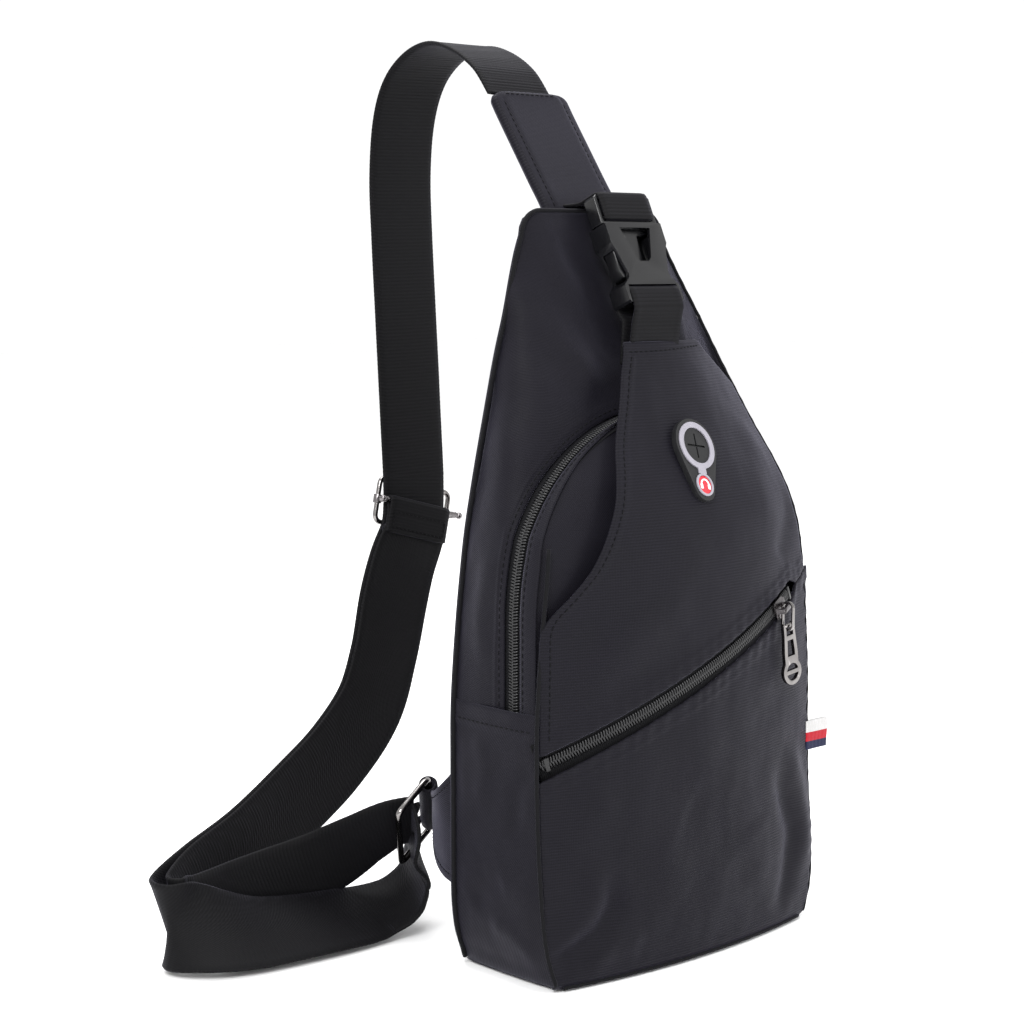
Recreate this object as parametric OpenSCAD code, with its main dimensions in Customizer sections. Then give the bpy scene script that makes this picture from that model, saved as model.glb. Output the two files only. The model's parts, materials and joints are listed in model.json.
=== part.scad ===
// Sling bag with an arched main zip, a diagonal front pocket, an earphone port,
// a side release buckle and one adjustable webbing strap.
// X to the right, the front faces -Y, Z up, the base stands on z = 0.

/* [Body] */
// Y of the rear face of the back panel
back_y = 30; // [28:1:32]
// Thickness of the fabric panels
cloth = 1.4; // [1:0.1:1.6]
// Thickness of the padded back panel
pad = 5; // [3:0.5:7]

/* [Strap] */
// Width of the shoulder webbing
web_w = 38; // [36:1:40]
// Thickness of the shoulder webbing
web_t = 1.8; // [1.4:0.1:2.2]

/* [Zips] */
// Radius of the arched main zip
arch_r = 89.5; // [88.5:0.5:90.5]
// Width across both tapes of a zip
tape_w = 13; // [12:0.5:14]
// Gap between the two rows of teeth, where the slider's post runs
tooth_gap = 1.2; // [1.1:0.1:1.4]

/* [Buckle] */
// Outer width of the buckle
buckle_w = 35; // [35:0.5:36]
// Thickness of the buckle
buckle_t = 11; // [11:0.5:12]

/* [Hidden] */
$fn = 48;

// ---- general functions ----
function unit(v) = v / norm(v);
function mix(a, b, t) = a * (1 - t) + b * t;
function soft(z, tab) = (lookup(z - 7, tab) + 2 * lookup(z, tab) + lookup(z + 7, tab)) / 4;
// normal of a grid of points at row i, column j
function gn(P, i, j) = let (n = len(P) - 1, m = len(P[0]) - 1)
    unit(cross(P[min(i + 1, n)][j] - P[max(i - 1, 0)][j], P[i][min(j + 1, m)] - P[i][max(j - 1, 0)]));
// point on a smooth curve through the rows of T at parameter u (Catmull-Rom)
function cr(a, b, c, d, t) = 0.5 * ((2 * b) + (c - a) * t + (2 * a - 5 * b + 4 * c - d) * t * t
    + (3 * b - a - 3 * c + d) * t * t * t);
function curve(T, u) = let (n = len(T) - 1, i = min(floor(u), n - 1), t = u - i)
    cr(T[max(i - 1, 0)], T[i], T[i + 1], T[min(i + 2, n)], t);

// a sheet of thickness t on a grid of points; s = 1 or -1 chooses the side it thickens to
module sheet(P, t, s = 1) {
    n = len(P);
    m = len(P[0]);
    k = n * m;
    A = [for (r = P) for (p = r) p];
    B = [for (i = [0:n - 1]) for (j = [0:m - 1]) P[i][j] + gn(P, i, j) * t * s];
    F = [for (i = [0:n - 2]) for (j = [0:m - 2]) let (a = i * m + j, b = a + 1, c = a + m, d = c + 1)
        each [[a, c, d], [a, d, b], [a + k, d + k, c + k], [a + k, b + k, d + k]]];
    E = [for (i = [0:n - 2]) let (a = i * m, c = a + m, b = a + m - 1, d = b + m)
        each [[a, a + k, c + k], [a, c + k, c], [b, d + k, b + k], [b, d, d + k]]];
    G = [for (j = [0:m - 2]) let (a = j, b = a + 1, c = (n - 1) * m + j, d = c + 1)
        each [[a, b + k, a + k], [a, b, b + k], [c, c + k, d + k], [c, d + k, d]]];
    H = concat(F, E, G);
    polyhedron(concat(A, B), s > 0 ? H : [for (f = H) [f[2], f[1], f[0]]]);
}
// a round cord swept through a list of points
module cord(Q, r, k = 8) {
    n = len(Q);
    R = [for (i = [0:n - 1]) let (d = unit(Q[min(i + 1, n - 1)] - Q[max(i - 1, 0)]),
        a = unit(cross(d, abs(d[1]) < 0.9 ? [0, 1, 0] : [1, 0, 0])), b = cross(d, a))
        each [for (j = [0:k - 1]) Q[i] + r * (cos(360 * j / k) * a + sin(360 * j / k) * b)]];
    W = [for (i = [0:n - 2]) for (j = [0:k - 1]) let (a = i * k + j, b = i * k + (j + 1) % k, c = a + k, d = b + k)
        each [[a, d, b], [a, c, d]]];
    polyhedron(R, concat(W, [[for (j = [0:k - 1]) j]], [[for (j = [k - 1:-1:0]) (n - 1) * k + j]]));
}
module rbox(x, y, z, r) {
    translate([0, 0, -z / 2]) linear_extrude(z) rsq(x, y, r);
}
module rsq(x, y, r) {
    union() {
        square([x - 2 * r, y], center = true);
        square([x, y - 2 * r], center = true);
        for (a = [-1, 1]) for (b = [-1, 1]) translate([a * (x / 2 - r), b * (y / 2 - r)]) circle(r);
    }
}

// ---- shape of the stuffed bag ----
// half width of the bag at each height
WT = [[0, 78], [8, 83], [20, 86], [36, 87], [114, 87], [135, 85.5], [160, 83], [190, 79], [218, 73],
    [247, 66], [268, 61], [290, 54], [308, 47], [320, 42], [326, 38]];
// Y of the front edge of the side walls
YT = [[0, -33], [15, -33], [40, -31], [64, -29], [93, -28], [178, -28], [195, -26], [213, -19],
    [229, -9], [247, 0], [265, 9], [289, 18], [308, 22], [326, 24]];
// how far the middle of the front stands out past that edge
BT = [[0, 8], [20, 12], [60, 17], [100, 19], [200, 18], [225, 18.5], [250, 19.5], [275, 21.4]];
ST = [[226, 2], [243, 3], [270, 9], [300, 7], [326, 1]];
function hw(z) = soft(z, WT);
function edge_y(z) = soft(z, YT);
// the free left edge of the upper front panel lifts a little
function lift(x, z) = x < 0 ? x * lookup(z, [[160, 1], [200, 0.8], [230, 0.7], [275, 0.7]]) : x;
function front_y(x, z) = edge_y(z) - lookup(z, BT) * (1 - pow(lift(x, z) / hw(z), 2));
function shell_y(x, z) = min(edge_y(z) + 2 - lookup(z, ST) * (1 - pow(x / hw(z), 2)), 23.2);

// ---- diagonal zip: an arc in a plane tilted 22 degrees ----
dz_tilt = 22;
dz_r = 220;
dz_y = 173;
dz_z = 130.8;
dz_from = -24.2;
dz_to = 18.4;
dz_rest = 14.2;
function dz_pt(a, r, v) = let (x = r * sin(a), y = -r * cos(a))
    [x * cos(dz_tilt) - v * sin(dz_tilt), dz_y + y, dz_z + x * sin(dz_tilt) + v * cos(dz_tilt)];
// height of the zip line over x
function dz_h(x) = dz_z + x * tan(dz_tilt);
module dz_at(a) {
    translate([0, dz_y, dz_z]) rotate([0, -dz_tilt, 0]) rotate([0, 0, a]) translate([0, -dz_r, 0]) children();
}

// ---- main zip: up the left side, then an arc about a centre in the middle ----
mz_y = -11;
mz_z = 152.5;
mz_end = 13;
mz_rest = 7.4;
function side_x(z) = 86 - 4.9 * pow(max(z - 155, 0) / 35, 2);
// point on the path at u from 0 (low left) to 1, at distance r outside and at depth y
function mz_pt(u, r, y) = u < 0.32 ? let (z = mix(119, 190.3, u / 0.32)) [-side_x(z) - r, y, z]
    : let (a = mix(-65, mz_end, (u - 0.32) / 0.68)) [(arch_r + r) * sin(a), y, mz_z + (arch_r + r) * cos(a)];
module mz_at(a) {
    translate([0, mz_y, mz_z]) rotate([0, a, 0]) translate([0, 0, arch_r]) children();
}
function arch_half(z) = z < 190 ? side_x(z) : sqrt(max(arch_r * arch_r - pow(z - mz_z, 2), 4));

// ---- back and base ----
module outline(d) {
    polygon(concat([for (z = [3:6:324]) [hw(z) - d, z]], [[hw(326) - d, 326], [26 - d, 329 - d], [-26 + d, 329 - d],
        [-hw(326) + d, 326]], [for (z = [-321:6:-3]) [-hw(-z) + d, -z]]));
}
module back_panel() {
    color("dimgray") translate([0, back_y, 0]) rotate([90, 0, 0]) linear_extrude(cloth) outline(0);
}
module back_foam() {
    color("gray") translate([0, back_y - cloth, 0]) rotate([90, 0, 0]) linear_extrude(pad - cloth)
        difference() {
            outline(5);
            translate([-100, -10]) square([200, 18]);
        }
}
module base_panel() {
    color("dimgray") linear_extrude(2)
        polygon(concat([for (x = [-74:4:74]) [x, front_y(x, 2) + 2.2]], [[77.5, -26], [78.5, -20], [78.5, 26],
            [-78.5, 26], [-78.5, -20], [-77.5, -26]]));
}

// ---- side walls ----
// y runs from the front edge to the back panel, the middle stands out a little
function wall(k, z, t, f) = let (y = mix(f, back_y - pad - 0.2, t)) [k * (hw(z) - 1.5 + 5 * t * (1 - t)), y, z];
module side_wall_left() {
    color("dimgray") sheet([for (z = [2.2, 6, 12, 20, 30, 44, 60, 78, 96, 114])
        [for (t = [0:0.125:1]) wall(-1, z, t, edge_y(z) + 2.4)]], cloth, 1);
}
module gusset_hem() {
    color("black") sheet([for (z = [110, 114, 117.4])
        [for (t = [0:0.125:1]) wall(-1, z, t, edge_y(z) + 2.4) - [1.5, 0, 0]]], 0.8, -1);
}
module side_wall_right() {
    color("dimgray") sheet([for (z = [2.2, 6, 12, 20, 32, 50, 70, 90, 110, 130, 150, 168, 184, 198, 210, 222, 234,
        246, 258, 270, 284, 298, 312, 325]) [for (t = [0:0.125:1])
        wall(1, z, t, min(edge_y(z) + 2.4, back_y - pad - 2))]], cloth, -1);
}

// ---- front panels ----
function dz_gap(x) = lookup(x, [[64, 5.9], [72, 0.3]]);
module front_lower() {
    color("#2b2a33") sheet([for (t = [0:0.0714:1.001]) [for (s = [-1:0.0833:1.001])
        let (x = s * (hw(mix(6, 110, t)) - 0.6), z = mix(2, dz_h(x) - dz_gap(x), t)) [x, front_y(x, z), z]]], cloth, 1);
}
// left edge of the upper front panel
function yoke_left(z) = -lookup(z, [[90, 86.4], [150, 85.5], [156, 84], [164, 76], [176, 65], [190, 57], [206, 48.5],
    [227, 40], [246, 29], [266, 19], [274, 17]]);
function yoke_right(z) = z < 250 ? hw(z) - 0.6 : mix(hw(250) - 0.6, 35, (z - 250) / 21);
module front_upper() {
    color("#2b2a33") sheet([for (t = [0:0.05:1.001]) [for (s = [0:0.0555:1.001])
        let (z1 = mix(mix(104, 161, s), 271, t), xa = yoke_left(z1), xb = yoke_right(z1), x = mix(xa, xb, s),
            z = mix(dz_h(mix(-86, 83.5, s)) + dz_gap(mix(-86, 83.5, s)), 271, t)) [x, front_y(x, z), z]]], cloth, 1);
}
PY = [[118, -24.5], [180, -24], [210, -20.5], [241, -16.4]];
PB = [[118, 12], [190, 12], [215, 9.5], [230, 6], [240, 1]];
function pouch_y(x, z) = lookup(z, PY) - lookup(z, PB) * (1 - pow(x / arch_half(z), 2));
module pouch_front() {
    color("#33323b") sheet([for (z = [121, 130, 140, 150, 160, 170, 180, 190, 198, 206, 213, 219, 224, 229, 233, 236,
        238.5]) [for (s = [-1:0.1:1.001]) let (x = s * (arch_half(z) - 1)) [x, pouch_y(x, z), z]]], cloth, 1);
}
module pocket_back() {
    color("#55545c") sheet([for (z = [8:12:224]) [for (s = [-1:0.25:1.001])
        let (x = s * (min(hw(z), arch_half(z)) - 9)) [x, -16 + 3 * s * s, z]]], 0.8, 1);
}

// ---- gusset, tapes and teeth of the main zip ----
module mz_strip(y0, y1, r, t, n = 44) {
    sheet([for (i = [0:n]) [mz_pt(i / n, r, y0), mz_pt(i / n, r, y1)]], t, 1);
}
module gusset_front() {
    color("#2b2a33") sheet([for (i = [0:44]) let (p = mz_pt(i / 44, 0, 0), y = lookup(p[2], PY))
        [mz_pt(i / 44, 0, y - 0.6), mz_pt(i / 44, 0, mz_y - 5.6)]], cloth, -1);
}
module gusset_right() {
    color("#2b2a33") sheet([for (a = [mz_end + 0.4:5:63.5]) let (r = arch_r - 0.2, z = mz_z + r * cos(a))
        [for (t = [0, 0.5, 1]) [r * sin(a), mix(lookup(z, PY) - 0.6, shell_front, t), z]]], cloth, 1);
}
module main_tape_front() {
    color("black") mz_strip(mz_y - tape_w / 2 - 1, mz_y - tooth_gap / 2 - 0.4, -1.9, 0.6);
}
module main_tape_rear() {
    color("black") mz_strip(mz_y + tooth_gap / 2 + 0.4, mz_y + tape_w / 2 + 1, -1.9, 0.6);
}
module main_teeth_front() {
    color("#202024") mz_strip(mz_y - tooth_gap / 2 - 2.2, mz_y - tooth_gap / 2, -1.3, 1.6);
}
module main_teeth_rear() {
    color("#202024") mz_strip(mz_y + tooth_gap / 2, mz_y + tooth_gap / 2 + 2.2, -1.3, 1.6);
}
module main_stop() {
    color("#77757a") mz_at(mz_end - 1) translate([0, 0, -0.7]) rbox(2.2, 6.4, 2.6, 0.6);
}

// ---- shell behind the main zip ----
shell_front = mz_y + 5.6;
function shell_in(z) = z <= 190 ? [-side_x(z), shell_front, z]
    : z <= 250 ? let (a = mix(-65, -25, (z - 190) / 60)) [arch_r * sin(a), shell_front, mz_z + arch_r * cos(a)]
    : let (h = mix(233.6, 325, (z - 250) / 75)) [-37.8, mix(shell_front, shell_y(-37.8, h), min((z - 250) / 14, 1)), h];
function shell_out(z) = [-hw(z) + 0.6 - (z > 322 ? 0 : 0), back_y - pad - 0.2, z];
module shell_left() {
    color("#2b2a33") sheet([for (z = [118.5, 126, 134, 142, 150, 158, 166, 174, 182, 190, 198, 206, 214, 222, 230,
        238, 246, 254, 262, 270, 280, 290, 300, 310, 318, 325]) let (a = shell_in(z), b = shell_out(z),
            h = 1.5 + 6.5 * min(max(z - 180, 0) / 60, 1)) [for (t = [0:0.1:1.001])
            mix(a, b, t) + h * 4 * t * (1 - t) * [-0.75, -0.55, 0.2]]], cloth, 1);
}
module shell_top() {
    color("#2b2a33") sheet([for (t = [0:0.0625:1]) [for (s = [0:0.0625:1])
        let (z9 = mix(238, 325, t), x = mix(-37.4, hw(z9) - 2, s),
            z0 = x < 45 ? mz_z + sqrt(arch_r * arch_r - x * x) + 0.2 : 230, z = mix(z0, 325, t))
        [x, mix(shell_front, shell_y(x, z), min((z - z0) / 14, 1)), z]]], cloth, 1);
}

// ---- piping on the seams ----
module piping_front() {
    color("black") cord([for (z = [4, 10, 18, 28, 40, 56, 72, 88, 104, 118, 130, 142, 154, 166, 178, 190])
        [-(min(hw(z), side_x(z) + 1) + 0.4), edge_y(z) + 0.9, z]], 1.1, 8);
}
module piping_back() {
    color("black") {
        cord([for (z = [5:10:325]) [-(hw(z) + 0.9), back_y - pad - 0.6, z]], 1.1, 8);
        cord([for (z = [5:10:325]) [hw(z) + 0.9, back_y - pad - 0.6, z]], 1.1, 8);
    }
}

// ---- diagonal front zip ----
module dz_strip(v0, v1, r, t, a0 = dz_from, a1 = dz_to) {
    sheet([for (i = [0:24]) let (a = mix(a0, a1, i / 24)) [dz_pt(a, dz_r + r, v0), dz_pt(a, dz_r + r, v1)]], t, 1);
}
module front_tape_upper() {
    color("black") dz_strip(tooth_gap / 2 + 0.4, tape_w / 2 + 4, -2.6, 0.6);
}
module front_tape_lower() {
    color("black") dz_strip(-tape_w / 2 - 4, -tooth_gap / 2 - 0.4, -2.6, 0.6);
}
module front_teeth_upper() {
    color("#202024") dz_strip(tooth_gap / 2, tooth_gap / 2 + 2.2, -2, 1.6);
}
module front_teeth_lower() {
    color("#202024") dz_strip(-tooth_gap / 2 - 2.2, -tooth_gap / 2, -2, 1.6);
}
module front_stop_left() {
    color("#77757a") dz_at(dz_from + 0.4) translate([0, 1.2, 0]) rotate([90, 0, 0]) rbox(2, 6.4, 2.4, 0.6);
}
module front_stop_right() {
    color("#77757a") dz_at(dz_to - 0.4) translate([0, 1.2, 0]) rotate([90, 0, 0]) rbox(2, 6.4, 2.4, 0.6);
}

// a slider: two plates joined by a thin post that runs between the rows of teeth, and a
// bridge on top; X along the zip, Z away from the cloth, z = 0 at the top of the teeth
module slider(len = 11.5, w = 8.6) {
    translate([0, 0, 0.7]) linear_extrude(1.3) nose(len, w);
    translate([0, 0, -4.2]) linear_extrude(1.2) nose(len, w);
    translate([len / 2 - 3.4, -0.3, -3.4]) cube([2.6, 0.6, 5]);
    // bridge that holds the pull
    for (x = [-3.9, 2.6]) translate([x, -1.1, 1.6]) cube([1.3, 2.2, 4.2]);
    translate([-3.9, -1.1, 5]) cube([7.8, 2.2, 1.2]);
}
module nose(len, w) {
    union() {
        rsq(len - 3, w, 1.6);
        translate([1.2, 0]) rsq(len - 2.4, w - 2, 1.6);
    }
}
module front_slider() {
    color("#6d6a70") dz_at(dz_rest) translate([0, 0.7, 0]) rotate([90, 0, 0]) slider();
}
// the link hangs on the slider's bridge and carries the pull
link_c = dz_pt(dz_rest, dz_r + 5.3, 0);
module capsule(r, h) {
    union() {
        circle(r);
        translate([0, -h]) circle(r);
        translate([-r, -h]) square([2 * r, h]);
    }
}
module front_link() {
    color("#8a878c") translate(link_c) rotate([0, 0, dz_rest]) rotate([90, 0, 90]) translate([0, 0, -0.7])
        linear_extrude(1.4) difference() {
            capsule(3.2, 7.5);
            capsule(1.9, 7.5);
        }
}
// local origin at the pin that passes through the link
pull_c = link_c + [0, 0, -8];
module front_pull() {
    color("#8a878c") translate(pull_c) rotate([0, -8, 0]) {
        translate([-3, 0, 0]) rotate([0, 90, 0]) cylinder(h = 6, r = 1);
        for (k = [-1, 1]) translate([k * 3 - 0.75, -0.9, -5.4]) cube([1.5, 1.8, 6.6]);
        rotate([90, 0, 0]) translate([0, 0, -0.9]) linear_extrude(1.8) difference() {
            union() {
                polygon([[-3.75, -4.4], [3.75, -4.4], [4.4, -12], [4.4, -20], [-4.4, -20], [-4.4, -12]]);
                translate([0, -21.5]) circle(6);
            }
            polygon([[-2, -6.6], [2, -6.6], [2.5, -12], [2.5, -14], [-2.5, -14], [-2.5, -12]]);
            translate([0, -21.5]) difference() {
                circle(4);
                square([9, 1.8], center = true);
            }
        }
    }
}
module main_slider() {
    color("#6d6a70") mz_at(mz_rest) rotate([0, 0, 180]) slider(10.5, 8.2);
}
module main_pull() {
    color("#8a878c") mz_at(mz_rest) translate([0, 0, 3.5]) {
        translate([0, 3, 0]) rotate([90, 0, 0]) cylinder(h = 6, r = 0.9);
        for (k = [-1, 1]) translate([0, k * 2.4 - 0.6, -0.65]) cube([6.4, 1.2, 1.3]);
        translate([0, 0, -0.65]) linear_extrude(1.3) difference() {
            translate([5.4, -3]) square([19, 6]);
            translate([9, -1.3]) square([9, 2.6]);
        }
    }
}

// ---- earphone port, lying on the upper front panel ----
port_x = 2;
port_z = 221;
module port_at(d) {
    translate([port_x, front_y(port_x, port_z) - d, port_z]) rotate([0, 9, 0]) rotate([66, 0, 0]) children();
}
module drop(r1, r2, h) {
    // two circles joined by straight flanks
    q = acos((r1 - r2) / h);
    polygon(concat([for (i = [0:36]) let (a = mix(q - 90, 270 - q, i / 36)) r1 * [cos(a), sin(a)]],
        [for (i = [0:18]) let (a = mix(270 - q, 270 + q, i / 18)) [r2 * cos(a), r2 * sin(a) - h]]));
}
module port_plate() {
    color("#26252a") port_at(2.4) translate([0, 6, -2.2]) difference() {
        linear_extrude(2.8) drop(12.6, 6.4, 19);
        translate([0, 0, 1.9]) linear_extrude(2) difference() {
            circle(10.9);
            circle(8.3);
        }
        translate([-5.6, -0.45, 1.7]) cube([11.2, 0.9, 2]);
        translate([-0.45, -5.6, 1.7]) cube([0.9, 11.2, 2]);
        translate([0, -18.2, 1.9]) cylinder(h = 2, r = 5.2);
    }
}
module port_loop() {
    color("#8f8c96") port_at(2.4) translate([0, 6, -2.2]) {
        translate([0, 0, 1.9]) linear_extrude(1.5) difference() {
            circle(10.9);
            circle(8.3);
        }
        translate([0, -18.2, 1.9]) linear_extrude(1.5) difference() {
            circle(5.2);
            circle(4.2);
        }
        translate([-2.4, -13.2, 2.8]) cube([4.8, 2.6, 0.6]);
    }
}
module port_badge() {
    color("#c3202c") port_at(2.4) translate([0, -12.2, -0.3]) cylinder(h = 1.1, r = 4.2);
}
module port_symbol() {
    color("white") port_at(2.4) translate([0, -12.2, 0.8]) linear_extrude(0.4) {
        difference() {
            circle(2.7);
            circle(2);
            translate([-4, -4]) square([8, 4]);
        }
        for (k = [-1, 1]) translate([k * 2.35 - 0.7, -2]) square([1.4, 2.2]);
    }
}
module label() {
    color("white") translate([hw(86) - 1.4, -29.2, 77]) cube([13.4, 2.4, 14.4]);
}

// ---- strap root cover and shoulder webbing ----
CP = [[0, 30.2, 311], [0, 30.8, 321], [0, 35, 331], [0, 44, 344], [0, 54, 358.5], [0, 64, 373], [0, 70.5, 383]];
module band(T, V, t, n, s = 1, sh = 0) {
    m = len(T) - 1;
    sheet([for (i = [0:n]) let (u = i * m / n, p = curve(T, u), v = unit(curve(V, u)),
        d = unit(curve(T, min(u + 0.05, m)) - curve(T, max(u - 0.05, 0))), q = cross(d, v) * sh)
        [p - v * web_w / 2 + q, p + q, p + v * web_w / 2 + q]], t, s);
}
module strap_cover() {
    color("#2b2a33") difference() {
        sheet([for (i = [0:12]) let (p = curve(CP, i / 2), w = 22.5 + (i < 2 ? 2 - i : 0))
            [p - [w, 0, 0], p - [w / 2, 0.8, 0], p - [0, 1, 0], p + [w / 2, -0.8, 0], p + [w, 0, 0]]], 5.6, 1);
    }
}
UP = [[-4, 73.2, 381.4], [-3.6, 84, 393.6], [-2.6, 100, 402.6], [-1.2, 118, 406.8], [0, 136, 403], [0, 150, 392],
    [0, 158, 374], [0, 161, 348], [0, 160, 320], [0, 158, 290], [0, 156, 260], [0, 154, 230], [0, 152, 200]];
UV = [for (i = [0:12]) [1, 0, 0]];
module strap_upper() {
    color("black") band(UP, UV, web_t, 48, -1);
}
LP = [[0, 152, 200], [-1, 151, 186], [-3.6, 150.3, 173], [-10.3, 150.7, 157.6], [-15.9, 150.8, 139.7],
    [-22.5, 150.6, 113.6], [-33.7, 149.1, 89.1], [-56.6, 145.6, 68.8], [-85.9, 139.6, 53.2], [-122, 130, 38.6],
    [-154.4, 121.4, 29.4], [-175.2, 113.6, 22.8], [-182.6, 102.5, 21.5], [-173.4, 93.3, 19], [-160, 87.8, 16.2],
    [-138, 86.6, 12.4], [-108, 85.7, 10.2], [-84.7, 86.5, 9.4], [-72, 83, 12.2], [-64.6, 79, 19.6], [-64, 75.4, 30],
    [-67.4, 71.6, 41.2], [-68.6, 70.8, 48], [-68, 74, 53]];
LV = [[1, 0, 0], [1, 0, -0.1], [0.98, 0, -0.18], [0.93, -0.05, -0.37], [0.96, -0.08, -0.26], [0.95, -0.05, -0.32],
    [0.8, -0.09, -0.6], [0.58, -0.1, -0.81], [0.44, -0.09, -0.89], [0.35, -0.05, -0.94], [0.31, -0.04, -0.95],
    [0.3, -0.08, -0.95], [0.17, -0.25, -0.95], [-0.15, -0.5, -0.85], [-0.22, -0.66, -0.72], [-0.24, -0.82, -0.52],
    [-0.3, -0.86, -0.41], [-0.37, -0.86, -0.35], [-0.36, -0.88, -0.32], [-0.36, -0.91, -0.22], [-0.4, -0.88, 0.16],
    [-0.47, -0.54, 0.66], [-0.48, -0.52, 0.7], [-0.48, -0.52, 0.7]];
module strap_lower() {
    color("black") band(LP, LV, web_t, 88, -1);
}
IP = [[-68, 74, 52], [-77, 81, 49.5], [-86, 90, 42.5], [-98, 99.5, 33.5], [-113, 104.5, 27], [-130, 105.5, 23.5],
    [-145, 104, 22], [-158, 100.5, 21.5], [-169.5, 99.4, 21], [-176.6, 104, 21.4], [-172.5, 110.4, 23.4],
    [-154, 119.5, 30], [-122, 128, 39.5], [-86, 137.5, 54.5], [-57, 143.5, 70], [-34.5, 147, 90], [-23.5, 148.5, 114],
    [-17, 148.7, 140], [-11.3, 148.6, 158], [-5.3, 148.8, 169.8]];
IV = [[0.48, 0.52, -0.7], [0.46, 0.5, -0.73], [0.4, 0.42, -0.81], [0.26, 0.28, -0.92], [0.1, 0.1, -0.98],
    [0, -0.1, -0.99], [0, -0.22, -0.97], [0, -0.3, -0.95], [0.06, -0.3, -0.95], [0.14, -0.2, -0.96],
    [0.2, -0.1, -0.97], [0.28, -0.05, -0.95], [0.36, -0.05, -0.93], [0.46, -0.08, -0.88], [0.66, -0.08, -0.74],
    [0.85, -0.08, -0.5], [0.96, -0.05, -0.28], [0.96, -0.08, -0.24], [0.97, -0.05, -0.24], [0.97, 0, -0.25]];
module strap_inner() {
    color("black") band(IP, IV, web_t, 76, -1);
}

// ---- adjuster: an oval wire frame with a cross bar held in two eyes ----
adj = [-1.2, 152, 185.5];
adj_tilt = 3.8;
adj_turn = 14.5;
wire_r = 1.3;
frame_w = 25;
frame_y = 3.7;
bar_r = 1.1;
bar_y = -3.9;
fold_t = 1.3;
module adj_at() {
    translate(adj) rotate([-adj_tilt, 0, 0]) rotate([0, adj_turn, 0]) children();
}
// the frame lies behind the webbing and carries the bar in front of it
module adjuster_frame() {
    color("#8a878c") adj_at() {
        for (k = [-1, 1]) {
            translate([3.5 - frame_w, frame_y, k * 11]) rotate([0, 90, 0]) cylinder(h = 2 * frame_w - 7, r = wire_r);
            for (j = [-1, 1]) {
                translate([j * (frame_w - 3.5), frame_y, k * 7.5]) rotate([90, 0, 0])
                    rotate([0, 0, j > 0 ? (k > 0 ? 0 : -90) : (k > 0 ? 90 : 180)])
                        rotate_extrude(angle = 90) translate([3.5, 0]) circle(wire_r);
                translate([j * frame_w, frame_y, k > 0 ? 0 : -7.5]) cylinder(h = 7.5, r = wire_r);
            }
        }
    }
}
module adjuster_bar() {
    color("#77757a") adj_at() {
        translate([-27, bar_y, 0]) rotate([0, 90, 0]) cylinder(h = 54, r = bar_r);
        for (j = [-1, 1]) {
            translate([j * 27, bar_y, 0]) sphere(1.8);
            translate([j * frame_w, frame_y, 0]) difference() {
                union() {
                    cylinder(h = 4.2, r = 2.2, center = true);
                    translate([-1.2, bar_y - frame_y + 0.4, -1.6]) cube([2.4, 6.5, 3.2]);
                }
                cylinder(h = 6, r = wire_r + 0.04, center = true);
            }
        }
    }
}
// the end of the webbing, folded round the bar and sewn to itself
module strap_end() {
    r = bar_r + fold_t;
    color("black") adj_at() difference() {
        union() {
            translate([-web_w / 2, bar_y, 0]) rotate([0, 90, 0]) cylinder(h = web_w, r = r);
            translate([-web_w / 2, bar_y - r, -15.4]) cube([web_w, r + 0.9, 15.4]);
        }
        translate([-30, bar_y, 0]) rotate([0, 90, 0]) cylinder(h = 60, r = bar_r);
    }
}

// ---- ring and its tab ----
ring_n = unit([0.33, -0.85, -0.4]);
ring_l = unit([0.48, 0.52, -0.7] - ring_n * ([0.48, 0.52, -0.7] * ring_n));
ring_s = cross(ring_n, ring_l);
ring_c = [-68, 74, 52];
ring_w = 43.5;
ring_h = 26;
// local X along the long bars, Y from the strap's bar to the tab's bar
module ring_at() {
    multmatrix([[ring_l[0], ring_s[0], ring_n[0], ring_c[0]], [ring_l[1], ring_s[1], ring_n[1], ring_c[1]],
        [ring_l[2], ring_s[2], ring_n[2], ring_c[2]]]) children();
}
module ring() {
    color("#8a878c") ring_at() {
        for (k = [-1, 1]) {
            translate([-ring_w / 2 + 3, k * (ring_h / 2 - 1.5), 0]) rotate([0, 90, 0]) cylinder(h = ring_w - 6, r = 1.5);
            translate([k * (ring_w / 2 - 0), -ring_h / 2 + 4.5, 0]) rotate([-90, 0, 0]) cylinder(h = ring_h - 9, r = 1.5);
            for (j = [-1, 1]) translate([k * (ring_w / 2 - 3), j * (ring_h / 2 - 4.5), 0])
                rotate([0, 0, (k > 0 ? (j > 0 ? 0 : -90) : (j > 0 ? 90 : 180))]) rotate_extrude(angle = 90)
                    translate([3, 0]) circle(1.5);
        }
    }
}
function ring_pt(x, y, z) = ring_c + ring_l * x + ring_s * y + ring_n * z;
module ring_tab() {
    a = ring_pt(-15, ring_h / 2 - 2, 2.7);
    b = ring_pt(15, ring_h / 2 - 2, 2.7);
    color("#2b2a33") sheet([for (t = [0:0.125:1]) [for (s = [0:0.125:1]) mix(mix([-85.8, 24.6, 88],
        [-85.4, 24.6, 36], s), mix(a, b, s), t) + [-5 * 4 * t * (1 - t), 0, -4 * t * (1 - t)]]], 1.8, 1);
}
// the end of the tab wraps the ring's bar
module tab_sleeve() {
    color("#2b2a33") ring_at() translate([-17, ring_h / 2 - 1.5, 0]) rotate([0, 90, 0]) difference() {
        cylinder(h = 34, r = 3.2);
        translate([0, 0, -1]) cylinder(h = 36, r = 1.56);
    }
}

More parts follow.
